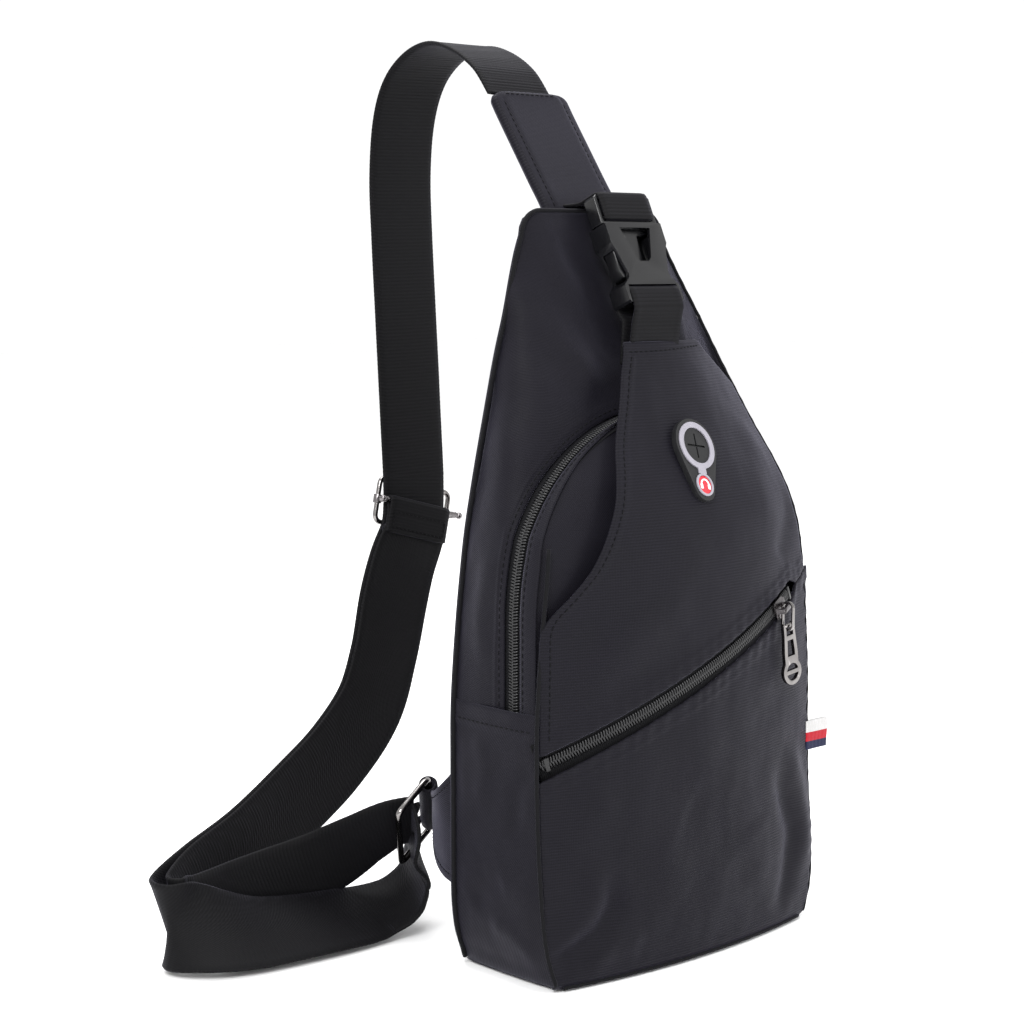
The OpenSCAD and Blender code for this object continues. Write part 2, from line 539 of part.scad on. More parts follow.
// ---- side release buckle: Z along its axis, the front faces -Y ----
buckle_tilt = 24.2;
buckle_c = [1.5, 5, 310.5];
web_b = 30;
module buckle_at() {
    translate(buckle_c) rotate([-buckle_tilt, 0, 0]) children();
}
module plate(t) {
    rotate([90, 0, 0]) translate([0, 0, -t / 2]) linear_extrude(t) children();
}
module socket_shape() {
    polygon([[-17.5, 11.5], [-17.5, 2], [-15.8, -1], [-12.6, -12], [-13.2, -14.5], [-17, -18], [-17, -25], [-16, -26],
        [16, -26], [17, -25], [17, -18], [13.2, -14.5], [12.6, -12], [15.8, -1], [17.5, 2], [17.5, 11.5]]);
}
module buckle_socket() {
    color("#1d1d20") buckle_at() difference() {
        plate(buckle_t) socket_shape();
        // mouth and passage of the plug
        plate(buckle_t - 3.6) polygon([[-15.8, 13], [-15.8, -15.5], [15.8, -15.5], [15.8, 13]]);
        // front window
        translate([0, -buckle_t / 2, 0]) plate(4.4) polygon([[-9.6, 9.2], [-4.6, -5], [-2.8, -6.8], [2.8, -6.8],
            [4.6, -5], [9.6, 9.2]]);
        // slot for the lower webbing, open to the front and the back
        plate(buckle_t + 2) polygon([[-15.2, -18], [15.2, -18], [15.2, -21.2], [-15.2, -21.2]]);
        // the bar under the slot is thinner than the body
        for (k = [-1, 1]) translate([0, k * (buckle_t / 2 + 0.6), 0]) plate(7) polygon([[-15.2, -17.9], [15.2, -17.9],
            [15.2, -27], [-15.2, -27]]);
    }
}
module buckle_plug() {
    color("#1d1d20") buckle_at() {
        difference() {
            plate(7) polygon([[-17.5, 12], [-17.5, 24.5], [-16, 26], [16, 26], [17.5, 24.5], [17.5, 12]]);
            plate(9) polygon([[-15.2, 13.4], [15.2, 13.4], [15.2, 16.4], [-15.2, 16.4]]);
            plate(9) polygon([[-15.2, 22.6], [15.2, 22.6], [15.2, 23.8], [-15.2, 23.8]]);
        }
        plate(3.6) polygon([[-14.8, 12.2], [14.8, 12.2], [14.8, 8], [4, 6.5], [2.8, -12], [1.6, -13.5], [-1.6, -13.5],
            [-2.8, -12], [-4, 6.5], [-14.8, 8]]);
    }
}
arm_x = 11.6;
arm_z = 6.2;
module arm(k) {
    buckle_at() mirror([k < 0 ? 1 : 0, 0, 0]) {
        plate(6.4) polygon([[10.4, 6.6], [13, 6.6], [13.4, 2], [15.3, 0.5], [15.3, -9.5], [13.6, -13.4], [11.6, -14.2],
            [10.6, -13.2], [10.9, -8], [10, 0]]);
    }
}
module buckle_arm_left() {
    color("#1d1d20") arm(-1);
}
module buckle_arm_right() {
    color("#1d1d20") arm(1);
}
// webbing round the socket's bar, down behind the top edge of the upper front panel
module buckle_web_low() {
    color("#1a1a1c") buckle_at() translate([-web_b / 2, 0, 0]) rotate([90, 0, 90]) linear_extrude(web_b) difference() {
        polygon([[-4.4, -19.4], [4.4, -19.4], [4.4, -27.8], [3.2, -31], [12.2, -47.9], [9.4, -49.5], [-1.8, -31.5],
            [-4.4, -27.8]]);
        polygon([[-2.8, -21], [2.8, -21], [2.8, -27.4], [0.4, -30], [-2.8, -27.4]]);
    }
}
module buckle_web_top() {
    color("#1a1a1c") buckle_at() {
        translate([-14.9, -5.2, 13.9]) cube([29.8, 1.6, 12.5]);
        translate([-14.9, -5.2, 13.9]) cube([29.8, 8.8, 1.5]);
        translate([-14.9, -5.2, 26.1]) cube([29.8, 13, 1.5]);
        translate([-14.9, 3.6, 12.6]) cube([29.8, 1.6, 2.8]);
    }
}
module buckle_web_root() {
    color("#1a1a1c") translate([1.5 - 14.9, 24.3, 330.4]) cube([29.8, 11.2, 1.5]);
}

back_panel();
back_foam();
base_panel();
side_wall_left();
gusset_hem();
side_wall_right();
front_lower();
front_upper();
pouch_front();
pocket_back();
gusset_front();
gusset_right();
shell_left();
shell_top();
piping_front();
piping_back();
main_tape_front();
main_tape_rear();
main_teeth_front();
main_teeth_rear();
main_stop();
main_slider();
main_pull();
front_tape_upper();
front_tape_lower();
front_teeth_upper();
front_teeth_lower();
front_stop_left();
front_stop_right();
front_slider();
front_link();
front_pull();
port_plate();
port_loop();
port_badge();
port_symbol();
label();
strap_cover();
strap_upper();
strap_lower();
strap_inner();
strap_end();
adjuster_frame();
adjuster_bar();
ring();
ring_tab();
tab_sleeve();
buckle_socket();
buckle_plug();
buckle_arm_left();
buckle_arm_right();
buckle_web_low();
buckle_web_top();
buckle_web_root();
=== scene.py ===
import json
import math

import bmesh
import bpy
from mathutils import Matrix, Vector, noise

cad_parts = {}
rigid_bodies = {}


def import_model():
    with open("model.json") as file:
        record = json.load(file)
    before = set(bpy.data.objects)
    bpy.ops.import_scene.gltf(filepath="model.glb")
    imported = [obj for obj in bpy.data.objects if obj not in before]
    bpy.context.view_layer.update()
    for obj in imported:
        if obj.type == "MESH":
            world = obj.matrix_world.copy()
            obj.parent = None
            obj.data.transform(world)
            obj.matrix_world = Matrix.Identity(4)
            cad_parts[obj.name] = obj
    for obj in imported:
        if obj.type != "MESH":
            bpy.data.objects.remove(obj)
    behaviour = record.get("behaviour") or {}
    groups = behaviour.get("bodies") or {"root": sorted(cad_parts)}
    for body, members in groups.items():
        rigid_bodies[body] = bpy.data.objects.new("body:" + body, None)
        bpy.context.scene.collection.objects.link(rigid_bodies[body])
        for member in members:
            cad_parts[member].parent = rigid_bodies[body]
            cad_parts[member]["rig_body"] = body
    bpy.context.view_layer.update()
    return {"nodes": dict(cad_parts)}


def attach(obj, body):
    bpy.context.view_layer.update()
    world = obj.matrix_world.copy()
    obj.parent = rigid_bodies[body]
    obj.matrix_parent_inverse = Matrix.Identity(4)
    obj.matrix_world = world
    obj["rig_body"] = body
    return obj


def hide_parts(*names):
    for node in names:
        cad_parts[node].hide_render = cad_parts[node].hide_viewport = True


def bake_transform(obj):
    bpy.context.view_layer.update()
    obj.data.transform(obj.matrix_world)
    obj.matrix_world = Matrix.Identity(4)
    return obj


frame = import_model()
V = Vector
MM = 0.001
scene = bpy.context.scene

# ---------------------------------------------------------------- shape functions, in millimetres
def lookup(x, tab):
    if x <= tab[0][0]:
        return tab[0][1]
    for (a, p), (b, q) in zip(tab, tab[1:]):
        if x <= b:
            return p + (q - p) * (x - a) / (b - a)
    return tab[-1][1]


def soft(x, tab, r=9):
    return sum(lookup(x + r * k / 3, tab) for k in range(-3, 4)) / 7


def mix(a, b, t):
    return a + (b - a) * t


def clamp(x, a=0.0, b=1.0):
    return max(a, min(b, x))


def smooth(x):
    x = clamp(x)
    return x * x * (3 - 2 * x)


def sind(a):
    return math.sin(math.radians(a))


def cosd(a):
    return math.cos(math.radians(a))


WT = [[0, 78], [8, 83], [20, 86], [36, 87], [114, 87], [135, 85.5], [160, 83], [190, 79], [218, 73],
      [247, 66], [268, 61], [290, 54], [308, 47], [320, 42], [326, 38]]
YT = [[0, -33], [15, -33], [40, -31], [64, -29], [93, -28], [178, -28], [195, -26], [213, -19],
      [229, -9], [247, 0], [265, 9], [289, 18], [308, 22], [326, 24]]
BT = [[0, 8], [20, 12], [60, 17], [100, 19], [200, 18], [225, 18.5], [250, 19.5], [275, 21.4]]
PY = [[118, -24.5], [180, -24], [210, -20.5], [241, -16.4]]
PB = [[118, 12], [190, 12], [215, 9.5], [230, 6], [240, 1]]
BACK_Y, ARCH_R, MZ_Y, MZ_Z, MZ_END = 30.0, 89.5, -11.0, 152.5, 13.0
DZ_TILT, DZ_R, DZ_Y, DZ_Z = 22.0, 220.0, 173.0, 130.8
ARCH_LOW, CORNER_Z, CLOTH = 113, 317.6, 1.4
# the main zip runs up the left side, then round the arch: shares of its parameter, length of the side
SIDE_SHARE, ARCH_SHARE, SIDE_LEN = 0.32, 0.68, 77.5


def hw(z):
    return soft(z, WT)


def edge_y(z):
    return soft(z, YT)


def top_half(z):
    """half width of the stuffed bag, with the rounded corners at its top"""
    if z < CORNER_Z:
        return hw(z)
    return 32.8 + 10 * math.sqrt(max(0.0, 1 - ((z - CORNER_Z) / 11) ** 2))


def skew(z):
    """the top of the bag leans a little to the left"""
    return -4 * smooth((z - 278) / 42)


def lift(x, z):
    return x * lookup(z, [[160, 1], [200, 0.8], [230, 0.7], [275, 0.7]]) if x < 0 else x


def front_y(x, z):
    return edge_y(z) - soft(z, BT) * (1 - (lift(x, z) / hw(z)) ** 2)


def dz_pt(a, r, v):
    x, y = r * sind(a), -r * cosd(a)
    return V((x * cosd(DZ_TILT) - v * sind(DZ_TILT), DZ_Y + y, DZ_Z + x * sind(DZ_TILT) + v * cosd(DZ_TILT)))


def dz_h(x):
    return DZ_Z + x * math.tan(math.radians(DZ_TILT))


def dz_gap(x):
    return lookup(x, [[64, 5.9], [72, 0.3]])


def side_x(z):
    return 86 - 4.9 * (max(z - 155, 0) / 35) ** 2


def arch_half(z):
    return side_x(z) if z < 190 else math.sqrt(max(ARCH_R ** 2 - (z - MZ_Z) ** 2, 4))


def mz_pt(u, r, y):
    if u < SIDE_SHARE:
        z = mix(ARCH_LOW, 190.3, u / SIDE_SHARE)
        return V((-side_x(z) - r, y, z))
    a = mix(-65, MZ_END, (u - SIDE_SHARE) / ARCH_SHARE)
    return V(((ARCH_R + r) * sind(a), y, MZ_Z + (ARCH_R + r) * cosd(a)))


def pouch_y(x, z):
    return lookup(z, PY) - soft(z, PB, 4) * (1 - (x / arch_half(z)) ** 2)


def yoke_left(z):
    return -soft(z, [[90, 86.4], [150, 85.5], [156, 84], [164, 76], [176, 65], [190, 57], [206, 48.5],
                     [227, 40], [246, 29], [266, 19], [274, 17]], 4)


def yoke_right(z):
    return hw(z) - 0.6 if z < 250 else mix(hw(250) - 0.6, 35, (z - 250) / 21)


def catmull(T, u):
    n = len(T) - 1
    i = min(int(u), n - 1)
    t = u - i
    a, b, c, d = (V(T[k]) for k in (max(i - 1, 0), i, i + 1, min(i + 2, n)))
    return 0.5 * (2 * b + (c - a) * t + (2 * a - 5 * b + 4 * c - d) * t * t
                  + (3 * b - a - 3 * c + d) * t ** 3)


def wob(x, y, z, size, seed=0.0):
    return noise.noise(V((x / size + seed, y / size - seed, z / size + 2 * seed)))


def ridge(x, z, pts, w, h):
    """A soft fold of height h and width w along a line of (x, z) points; its ends fade out."""
    best = 0.0
    n = len(pts) - 1
    for k in range(n):
        (ax, az), (bx, bz) = pts[k], pts[k + 1]
        dx, dz = bx - ax, bz - az
        t = clamp(((x - ax) * dx + (z - az) * dz) / (dx * dx + dz * dz))
        d = math.hypot(x - ax - t * dx, z - az - t * dz)
        s = (k + t) / n
        best = max(best, math.exp(-(d / w) ** 2) * smooth(4 * s) * smooth(4 * (1 - s)))
    return h * best


def folds(d, x, z, rows):
    """the distance d with the folds of a table added; a row holds a fold's points, width and height"""
    for pts, w, h in rows:
        d += ridge(x, z, pts, w, h)
    return d


# ---------------------------------------------------------------- mesh helpers
def mesh(name, verts, faces, mat, body="bag", slot=None, replaces=(), uvs=None, sharp=None):
    me = bpy.data.meshes.new(name)
    me.from_pydata([(v[0] * MM, v[1] * MM, v[2] * MM) for v in verts], [], faces)
    me.polygons.foreach_set("use_smooth", [True] * len(me.polygons))
    if uvs:
        layer = me.uv_layers.new(name="cloth")
        for loop in me.loops:
            layer.data[loop.index].uv = (uvs[loop.vertex_index][0] * 0.01, uvs[loop.vertex_index][1] * 0.01)
    bm = bmesh.new()
    bm.from_mesh(me)
    bmesh.ops.recalc_face_normals(bm, faces=bm.faces)
    bm.to_mesh(me)
    bm.free()
    if sharp:
        me.set_sharp_from_angle(angle=math.radians(sharp))
    return obj(name, me, mat, body, replaces)


def obj(name, me, mat, body="bag", replaces=()):
    o = bpy.data.objects.new(name, me)
    scene.collection.objects.link(o)
    me.materials.clear()
    for m in mat if isinstance(mat, (list, tuple)) else [mat]:
        me.materials.append(m)
    if body:
        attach(o, body)
    if replaces:
        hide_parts(*replaces)
    return o


def normals(P, sign):
    n, m = len(P), len(P[0])
    out = []
    for i in range(n):
        row = []
        for j in range(m):
            a = P[min(i + 1, n - 1)][j] - P[max(i - 1, 0)][j]
            b = P[i][min(j + 1, m - 1)] - P[i][max(j - 1, 0)]
            c = a.cross(b)
            row.append(c.normalized() * sign if c.length > 1e-9 else V((0, 0, sign)))
        out.append(row)
    return out


def lengths(Q):
    """the length along a polyline at each of its points"""
    L = [0.0]
    for a, b in zip(Q, Q[1:]):
        L.append(L[-1] + (b - a).length)
    return L


def inward(P, edge):
    """for each place along one edge of a grid, its grid places from that edge inward"""
    n, m = len(P), len(P[0])
    if edge in ("top", "bottom"):
        rows = range(n - 1, -1, -1) if edge == "top" else range(n)
        return [[(i, q) for i in rows] for q in range(m)]
    cols = range(m) if edge == "left" else range(m - 1, -1, -1)
    return [[(q, j) for j in cols] for q in range(n)]


def outline(n, m):
    """the edge places of an n by m grid, once round"""
    ring = [(0, j) for j in range(m)] + [(i, m - 1) for i in range(1, n)]
    return ring + [(n - 1, j) for j in range(m - 2, -1, -1)] + [(i, 0) for i in range(n - 2, 0, -1)]


def double_faces(n, m):
    """faces of two n by m grids back to back, joined by a rim with one more point per edge place"""
    k = n * m
    faces = []
    for i in range(n - 1):
        for j in range(m - 1):
            a = i * m + j
            faces += [(a, a + 1, a + m + 1, a + m), (a + k, a + k + m, a + k + m + 1, a + k + 1)]
    ring = outline(n, m)
    q = len(ring)
    for r in range(q):
        (i, j), (a, b) = ring[r], ring[(r + 1) % q]
        p, s, c, d = i * m + j, a * m + b, 2 * k + r, 2 * k + (r + 1) % q
        faces += [(p, s, d, c), (c, d, s + k, p + k)]
    return faces


def arc_uv(P):
    n, m = len(P), len(P[0])
    U = [[(0.0, 0.0)] * m for _ in range(n)]
    for i in range(n):
        for j in range(m):
            u = U[i][j - 1][0] + (P[i][j] - P[i][j - 1]).length if j else 0.0
            v = U[i - 1][j][1] + (P[i][j] - P[i - 1][j]).length if i else 0.0
            U[i][j] = (u, v)
    return U


def skin(name, P, t, sign, mat, disp=None, uv=None, **kw):
    """A sheet of cloth t thick on a grid of points of its outer face; sign makes the normal point out.
    disp(i, j, p) moves the cloth along its normal. Its edges are rounded."""
    n, m = len(P), len(P[0])
    if disp:
        N = normals(P, sign)
        P = [[P[i][j] + N[i][j] * disp(i, j, P[i][j]) for j in range(m)] for i in range(n)]
    N = normals(P, sign)
    U = [[uv(p) for p in row] for row in P] if uv else arc_uv(P)
    verts = [p for r in P for p in r] + [P[i][j] - N[i][j] * t for i in range(n) for j in range(m)]
    uvs = [u for r in U for u in r] * 2
    for i, j in outline(n, m):
        inner = P[clamp(i, 1, n - 2)][clamp(j, 1, m - 2)]
        out = P[i][j] - inner
        out -= N[i][j] * out.dot(N[i][j])
        out = out.normalized() if out.length > 1e-9 else V((0, 0, 0))
        verts.append(P[i][j] - N[i][j] * t * 0.5 + out * t * 0.42)
        uvs.append(U[i][j])
    return mesh(name, verts, double_faces(n, m), mat, uvs=uvs, **kw), P, N


def tube(name, Q, r, mat, k=8, closed=False, **kw):
    """A round tube through points; r is a number or a function of the share of the length."""
    n, L = len(Q), lengths(Q)
    verts, faces, uvs = [], [], []
    up = None
    for i in range(n):
        if closed:
            d = (Q[(i + 1) % n] - Q[i - 1]).normalized()
        else:
            d = (Q[min(i + 1, n - 1)] - Q[max(i - 1, 0)]).normalized()
        if up is None:
            up = d.cross(V((0, 1, 0)) if abs(d.y) < 0.9 else V((1, 0, 0))).normalized()
        up = (up - d * up.dot(d)).normalized()
        w = d.cross(up)
        rr = r(L[i] / L[-1]) if callable(r) else r
        for j in range(k):
            a = 2 * math.pi * j / k
            verts.append(Q[i] + (up * math.cos(a) + w * math.sin(a)) * rr)
            uvs.append((rr * a, L[i]))
    for i in range(n if closed else n - 1):
        for j in range(k):
            a, b = i * k + j, i * k + (j + 1) % k
            c, d = (a + k) % (n * k), (b + k) % (n * k)
            faces.append((a, b, d, c))
    if not closed:
        faces += [tuple(range(k - 1, -1, -1)), tuple(range((n - 1) * k, n * k))]
    if name is None:
        return verts, faces, uvs
    return mesh(name, verts, faces, mat, uvs=uvs, **kw)


def join(parts):
    verts, faces, uvs = [], [], []
    for v, f, u in parts:
        k = len(verts)
        verts += v
        uvs += u
        faces += [tuple(i + k for i in g) for g in f]
    return verts, faces, uvs


# stitches are gathered per body and built at the end
STITCH = {}
# one thread: share of its length, height over the cloth, share of its thickness
THREAD = [(0, -0.28, 0.35), (0.12, -0.02, 0.85), (0.5, 0.1, 1.0), (0.88, -0.02, 0.85), (1, -0.28, 0.35)]


def stitches(path, body="bag", pitch=3.1, length=2.3, r=0.24, rise=0.08, key="thread"):
    """path: a list of (point, normal); one short thread every pitch along it."""
    if len(path) < 2:
        return
    L = lengths([p for p, _ in path])

    def at(s):
        for i in range(len(L) - 1):
            if s <= L[i + 1] or i == len(L) - 2:
                t = (s - L[i]) / max(L[i + 1] - L[i], 1e-9)
                return path[i][0].lerp(path[i + 1][0], t), path[i][1].lerp(path[i + 1][1], t).normalized()

    for q in range(int(L[-1] / pitch)):
        pts, rad = [], []
        for s, h, w in THREAD:
            p, nn = at((q + 0.1) * pitch + s * length)
            pts.append(p + nn * (rise + h))
            rad.append(r * w)
        it = iter(rad)
        STITCH.setdefault((body, key), []).append(tube(None, pts, lambda s, it=it: next(it), None, k=5))


def edge_path(P, N, edge, d, skip=0):
    """points at distance d from one edge of a grid, measured across it"""
    out = []
    lines = inward(P, edge)
    for seq in lines[skip:len(lines) - skip]:
        left = d
        for (i, j), (a, b) in zip(seq, seq[1:]):
            s = (P[a][b] - P[i][j]).length
            if s >= left:
                out.append((P[i][j].lerp(P[a][b], left / s), N[i][j].lerp(N[a][b], left / s).normalized()))
                break
            left -= s
    return out


def copy_cad(node, mat, width, segments=2):
    """a piece with the CAD node's own shape, its edges rounded by width"""
    src = frame["nodes"][node]
    bm = bmesh.new()
    bm.from_mesh(src.data)
    bmesh.ops.remove_doubles(bm, verts=bm.verts, dist=2e-6)
    bmesh.ops.dissolve_limit(bm, angle_limit=math.radians(1), verts=bm.verts, edges=bm.edges)
    bmesh.ops.recalc_face_normals(bm, faces=bm.faces)
    edges = [e for e in bm.edges if len(e.link_faces) == 2 and e.calc_face_angle(0) > math.radians(28)]
    bmesh.ops.bevel(bm, geom=edges, offset=width * MM, segments=segments, profile=0.6, affect="EDGES",
                    clamp_overlap=True)
    bmesh.ops.remove_doubles(bm, verts=bm.verts, dist=1e-6)
    me = bpy.data.meshes.new(node + "_piece")
    bm.to_mesh(me)
    bm.free()
    me.polygons.foreach_set("use_smooth", [True] * len(me.polygons))
    me.set_sharp_from_angle(angle=math.radians(34))
    return obj(me.name, me, mat, src["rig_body"], (node,))


# ---------------------------------------------------------------- materials
class Nodes:
    def __init__(self, name):
        self.m = bpy.data.materials.new(name)
        self.m.use_nodes = True
        self.t = self.m.node_tree
        self.b = self.t.nodes["Principled BSDF"]

    def add(self, kind, **kw):
        n = self.t.nodes.new(kind)
        for k, v in kw.items():
            setattr(n, k, v)
        return n

    def link(self, a, b):
        self.t.links.new(a, b)

    def put(self, v, socket):
        """a number sets the socket, an output is linked to it"""
        if isinstance(v, (int, float)):
            socket.default_value = v
        elif v is not None:
            self.link(v, socket)

    def math(self, op, a, b=None, c=None):
        n = self.add("ShaderNodeMath", operation=op)
        for i, v in enumerate((a, b, c)):
            self.put(v, n.inputs[i])
        return n.outputs[0]

    def uv(self):
        u = self.add("ShaderNodeUVMap", uv_map="cloth")
        s = self.add("ShaderNodeSeparateXYZ")
        self.link(u.outputs[0], s.inputs[0])
        return u.outputs[0], s.outputs[0], s.outputs[1]

    def objxyz(self):
        u = self.add("ShaderNodeTexCoord")
        s = self.add("ShaderNodeSeparateXYZ")
        self.link(u.outputs["Object"], s.inputs[0])
        return u.outputs["Object"], s.outputs[0], s.outputs[1], s.outputs[2]

    def noise(self, vec, scale, stretch=(1, 1, 1), detail=3.0, rough=0.55):
        mp = self.add("ShaderNodeMapping")
        mp.inputs["Scale"].default_value = stretch
        self.link(vec, mp.inputs["Vector"])
        n = self.add("ShaderNodeTexNoise")
        n.inputs["Scale"].default_value = scale
        n.inputs["Detail"].default_value = detail
        n.inputs["Roughness"].default_value = rough
        self.link(mp.outputs[0], n.inputs["Vector"])
        return n.outputs["Fac"]

    def wave(self, x, pitch, phase=0.0):
        """0 to 1 sine of a coordinate in units of 100 mm, with its pitch in mm"""
        s = self.math("MULTIPLY_ADD", x, 200 * math.pi / pitch, phase)
        return self.math("MULTIPLY_ADD", self.math("SINE", s), 0.5, 0.5)

    def mixf(self, fac, a, b):
        n = self.add("ShaderNodeMix", data_type="FLOAT")
        for i, v in ((0, fac), (2, a), (3, b)):
            self.put(v, n.inputs[i])
        return n.outputs[0]

    def ramp(self, fac, stops):
        r = self.add("ShaderNodeValToRGB")
        el = r.color_ramp.elements
        while len(el) < len(stops):
            el.new(0.5)
        for e, (p, c) in zip(el, stops):
            e.position = p
            e.color = (*c, 1)
        self.link(fac, r.inputs[0])
        return r.outputs[0]

    def finish(self, color=None, rough=None, bump=None, strength=0.3, dist=0.0003, **const):
        for k, v in const.items():
            self.b.inputs[k.replace("_", " ")].default_value = v
        self.put(color, self.b.inputs["Base Color"])
        self.put(rough, self.b.inputs["Roughness"])
        if bump is not None:
            n = self.add("ShaderNodeBump")
            n.inputs["Strength"].default_value = strength
            n.inputs["Distance"].default_value = dist
            self.link(bump, n.inputs["Height"])
            self.link(n.outputs[0], self.b.inputs["Normal"])
        return self.m


def scaled(c, k):
    return tuple(min(1.0, v * k) for v in c)


def cloth_mat(name, base, weave, pitch, rough=0.62, sheen=0.25, strength=0.45, dist=0.00025, contrast=0.35):
    s = Nodes(name)
    vec, u, v = s.uv()
    if weave == "rib":
        rows = s.wave(v, pitch)
        cols = s.wave(u, pitch * 0.6)
        h = s.math("MULTIPLY_ADD", cols, 0.25, rows)
        grain = s.noise(vec, 60, (0.6, 9, 1))
    elif weave == "twill":
        d = s.math("MULTIPLY_ADD", v, 0.62, u)
        rows = s.wave(d, pitch)
        cols = s.wave(v, pitch * 0.75)
        h = s.math("MULTIPLY_ADD", cols, 0.35, rows)
        grain = s.noise(vec, 260, (1, 1, 1))
    elif weave == "web":
        rows = s.wave(v, pitch)
        h = s.math("MULTIPLY_ADD", s.wave(u, 0.9), 0.12, rows)
        grain = s.noise(vec, 90, (1.2, 8, 1))
    else:
        rows = s.wave(v, pitch)
        h = s.math("MULTIPLY", rows, s.wave(u, pitch))
        grain = s.noise(vec, 300, (1, 1, 1))
    big = s.noise(vec, 4.5, (1, 1, 1), 4.0)
    tone = s.math("MULTIPLY_ADD", h, contrast, s.math("MULTIPLY", grain, 0.5))
    tone = s.math("ADD", tone, s.math("MULTIPLY", big, 0.35))
    col = s.ramp(tone, [(0.15, scaled(base, 0.55)), (0.6, base), (1.0, scaled(base, 1.75))])
    hgt = s.math("MULTIPLY_ADD", grain, 0.55, h)
    r = s.mixf(big, rough - 0.07, rough + 0.07)
    m = s.finish(col, r, hgt, strength, dist, Sheen_Weight=sheen, Sheen_Roughness=0.4, Specular_IOR_Level=0.1)
    s.b.inputs["Sheen Tint"].default_value = (0.78, 0.76, 1.0, 1)
    return m


def hard_mat(name, base, rough, metallic=0.0, coat=0.0, grain=1400.0, strength=0.08, spec=0.5, wear=0.0,
             tone=0.25):
    s = Nodes(name)
    vec = s.objxyz()[0]
    fine = s.noise(vec, grain, (1, 1, 1), 4.0)
    big = s.noise(vec, 90, (1, 1, 1), 3.0)
    streak = s.noise(vec, 500, (1, 1, 0.12), 2.0)
    f = s.math("MULTIPLY_ADD", streak, 0.4, s.math("MULTIPLY", big, 0.6))
    if wear:
        g = s.add("ShaderNodeNewGeometry")
        e = s.math("SUBTRACT", g.outputs["Pointiness"], 0.52)
        e = s.math("MULTIPLY", e, 9.0)
        f = s.math("ADD", f, s.math("MULTIPLY", s.math("MAXIMUM", e, 0.0), wear))
    col = s.ramp(f, [(0.25, scaled(base, 1 - tone)), (0.7, scaled(base, 1 + tone)),
                     (1.0, scaled(base, 1 + 3 * tone))])
    r = s.mixf(streak, rough * 0.75, min(1.0, rough * 1.3))
    return s.finish(col, r, fine, strength, 0.0001, Metallic=metallic, Coat_Weight=coat, Coat_Roughness=0.25,
                    Specular_IOR_Level=spec)


INK = (0.0038, 0.0034, 0.0056)
M = {
    "front": cloth_mat("front_nylon", INK, "rib", 1.25, 0.6, 0.1, 0.5, 0.0002, 0.35),
    "shell": cloth_mat("shell_twill", INK, "twill", 0.95, 0.6, 0.12, 0.5, 0.00018, 0.4),
    "tape": cloth_mat("zip_tape", (0.004, 0.004, 0.0046), "rib", 0.9, 0.75, 0.04, 0.6, 0.0002),
    "web": cloth_mat("webbing", (0.003, 0.0029, 0.0034), "web", 1.7, 0.66, 0.05, 0.45, 0.0002, 0.4),
    "bind": cloth_mat("binding", (0.0035, 0.0034, 0.0042), "plain", 0.8, 0.7, 0.05, 0.5, 0.0002),
    "lining": cloth_mat("lining", (0.03, 0.03, 0.033), "plain", 0.7, 0.7, 0.1, 0.4, 0.00015),
    "thread": hard_mat("thread", (0.0028, 0.0028, 0.0034), 0.6, grain=4000, strength=0.3, spec=0.1),
    "coil": hard_mat("zip_coil", (0.007, 0.007, 0.0075), 0.3, coat=0.12, grain=2500, strength=0.06, wear=0.6,
                     spec=0.3),
    "metal": hard_mat("gunmetal", (0.2, 0.19, 0.187), 0.15, metallic=1.0, grain=2600, strength=0.05,
                      wear=0.5),
    "dark": hard_mat("dark_nickel", (0.13, 0.122, 0.125), 0.24, metallic=1.0, grain=2600, strength=0.06,
                     wear=0.8),
    "plastic": hard_mat("black_acetal", (0.0035, 0.0035, 0.0042), 0.22, coat=0.3, grain=1800, strength=0.08,
                        wear=0.9, spec=0.3),
    "rubber": hard_mat("port_rubber", (0.007, 0.007, 0.008), 0.5, grain=3200, strength=0.2, spec=0.3),
    "grey": hard_mat("port_grey", (0.235, 0.225, 0.26), 0.5, grain=3200, strength=0.15, tone=0.1),
    "red": hard_mat("port_red", (0.5, 0.012, 0.025), 0.42, grain=3200, strength=0.15, tone=0.12),
    "white": hard_mat("port_white", (0.78, 0.77, 0.76), 0.5, grain=3200, strength=0.15, tone=0.05),
}


# ---------------------------------------------------------------- the stuffed bag
def grid(n, m, fn):
    """fn(t, s) with t up the rows and s along them, both 0 to 1"""
    return [[V(fn(i / (n - 1), j / (m - 1))) for j in range(m)] for i in range(n)]


def hem(P, edges, width=6.5, rise=0.5):
    """a folded hem: the cloth is a little thicker near the named edges, with a groove where it is sewn"""
    D = {}
    for e in edges:
        for seq in inward(P, e):
            d, last = 0.0, None
            for i, j in seq:
                if last:
                    d += (P[i][j] - P[last[0]][last[1]]).length
                last = (i, j)
                if d > width * 1.6:
                    break
                D[i, j] = min(D.get((i, j), 99), d)

    def f(i, j):
        d = D.get((i, j))
        if d is None:
            return 0.0
        groove = 0.28 * math.exp(-((d - width * 0.62) / 0.8) ** 2)
        return rise * (1 - smooth((d - width * 0.75) / (width * 0.5))) - groove
    return f


def xz(p):
    return (p[0], p[2])


# lower front panel, the outside of the diagonal pocket
def fl(t, s):
    x = (2 * s - 1) * (hw(mix(6, 110, t)) - 0.6)
    z = mix(1.2, dz_h(x) - dz_gap(x), t)
    return (x, front_y(x, z) + 3.2 * max(0.0, 1 - z / 5) ** 2, z)


G = grid(96, 120, fl)
H = hem(G, ["top"])


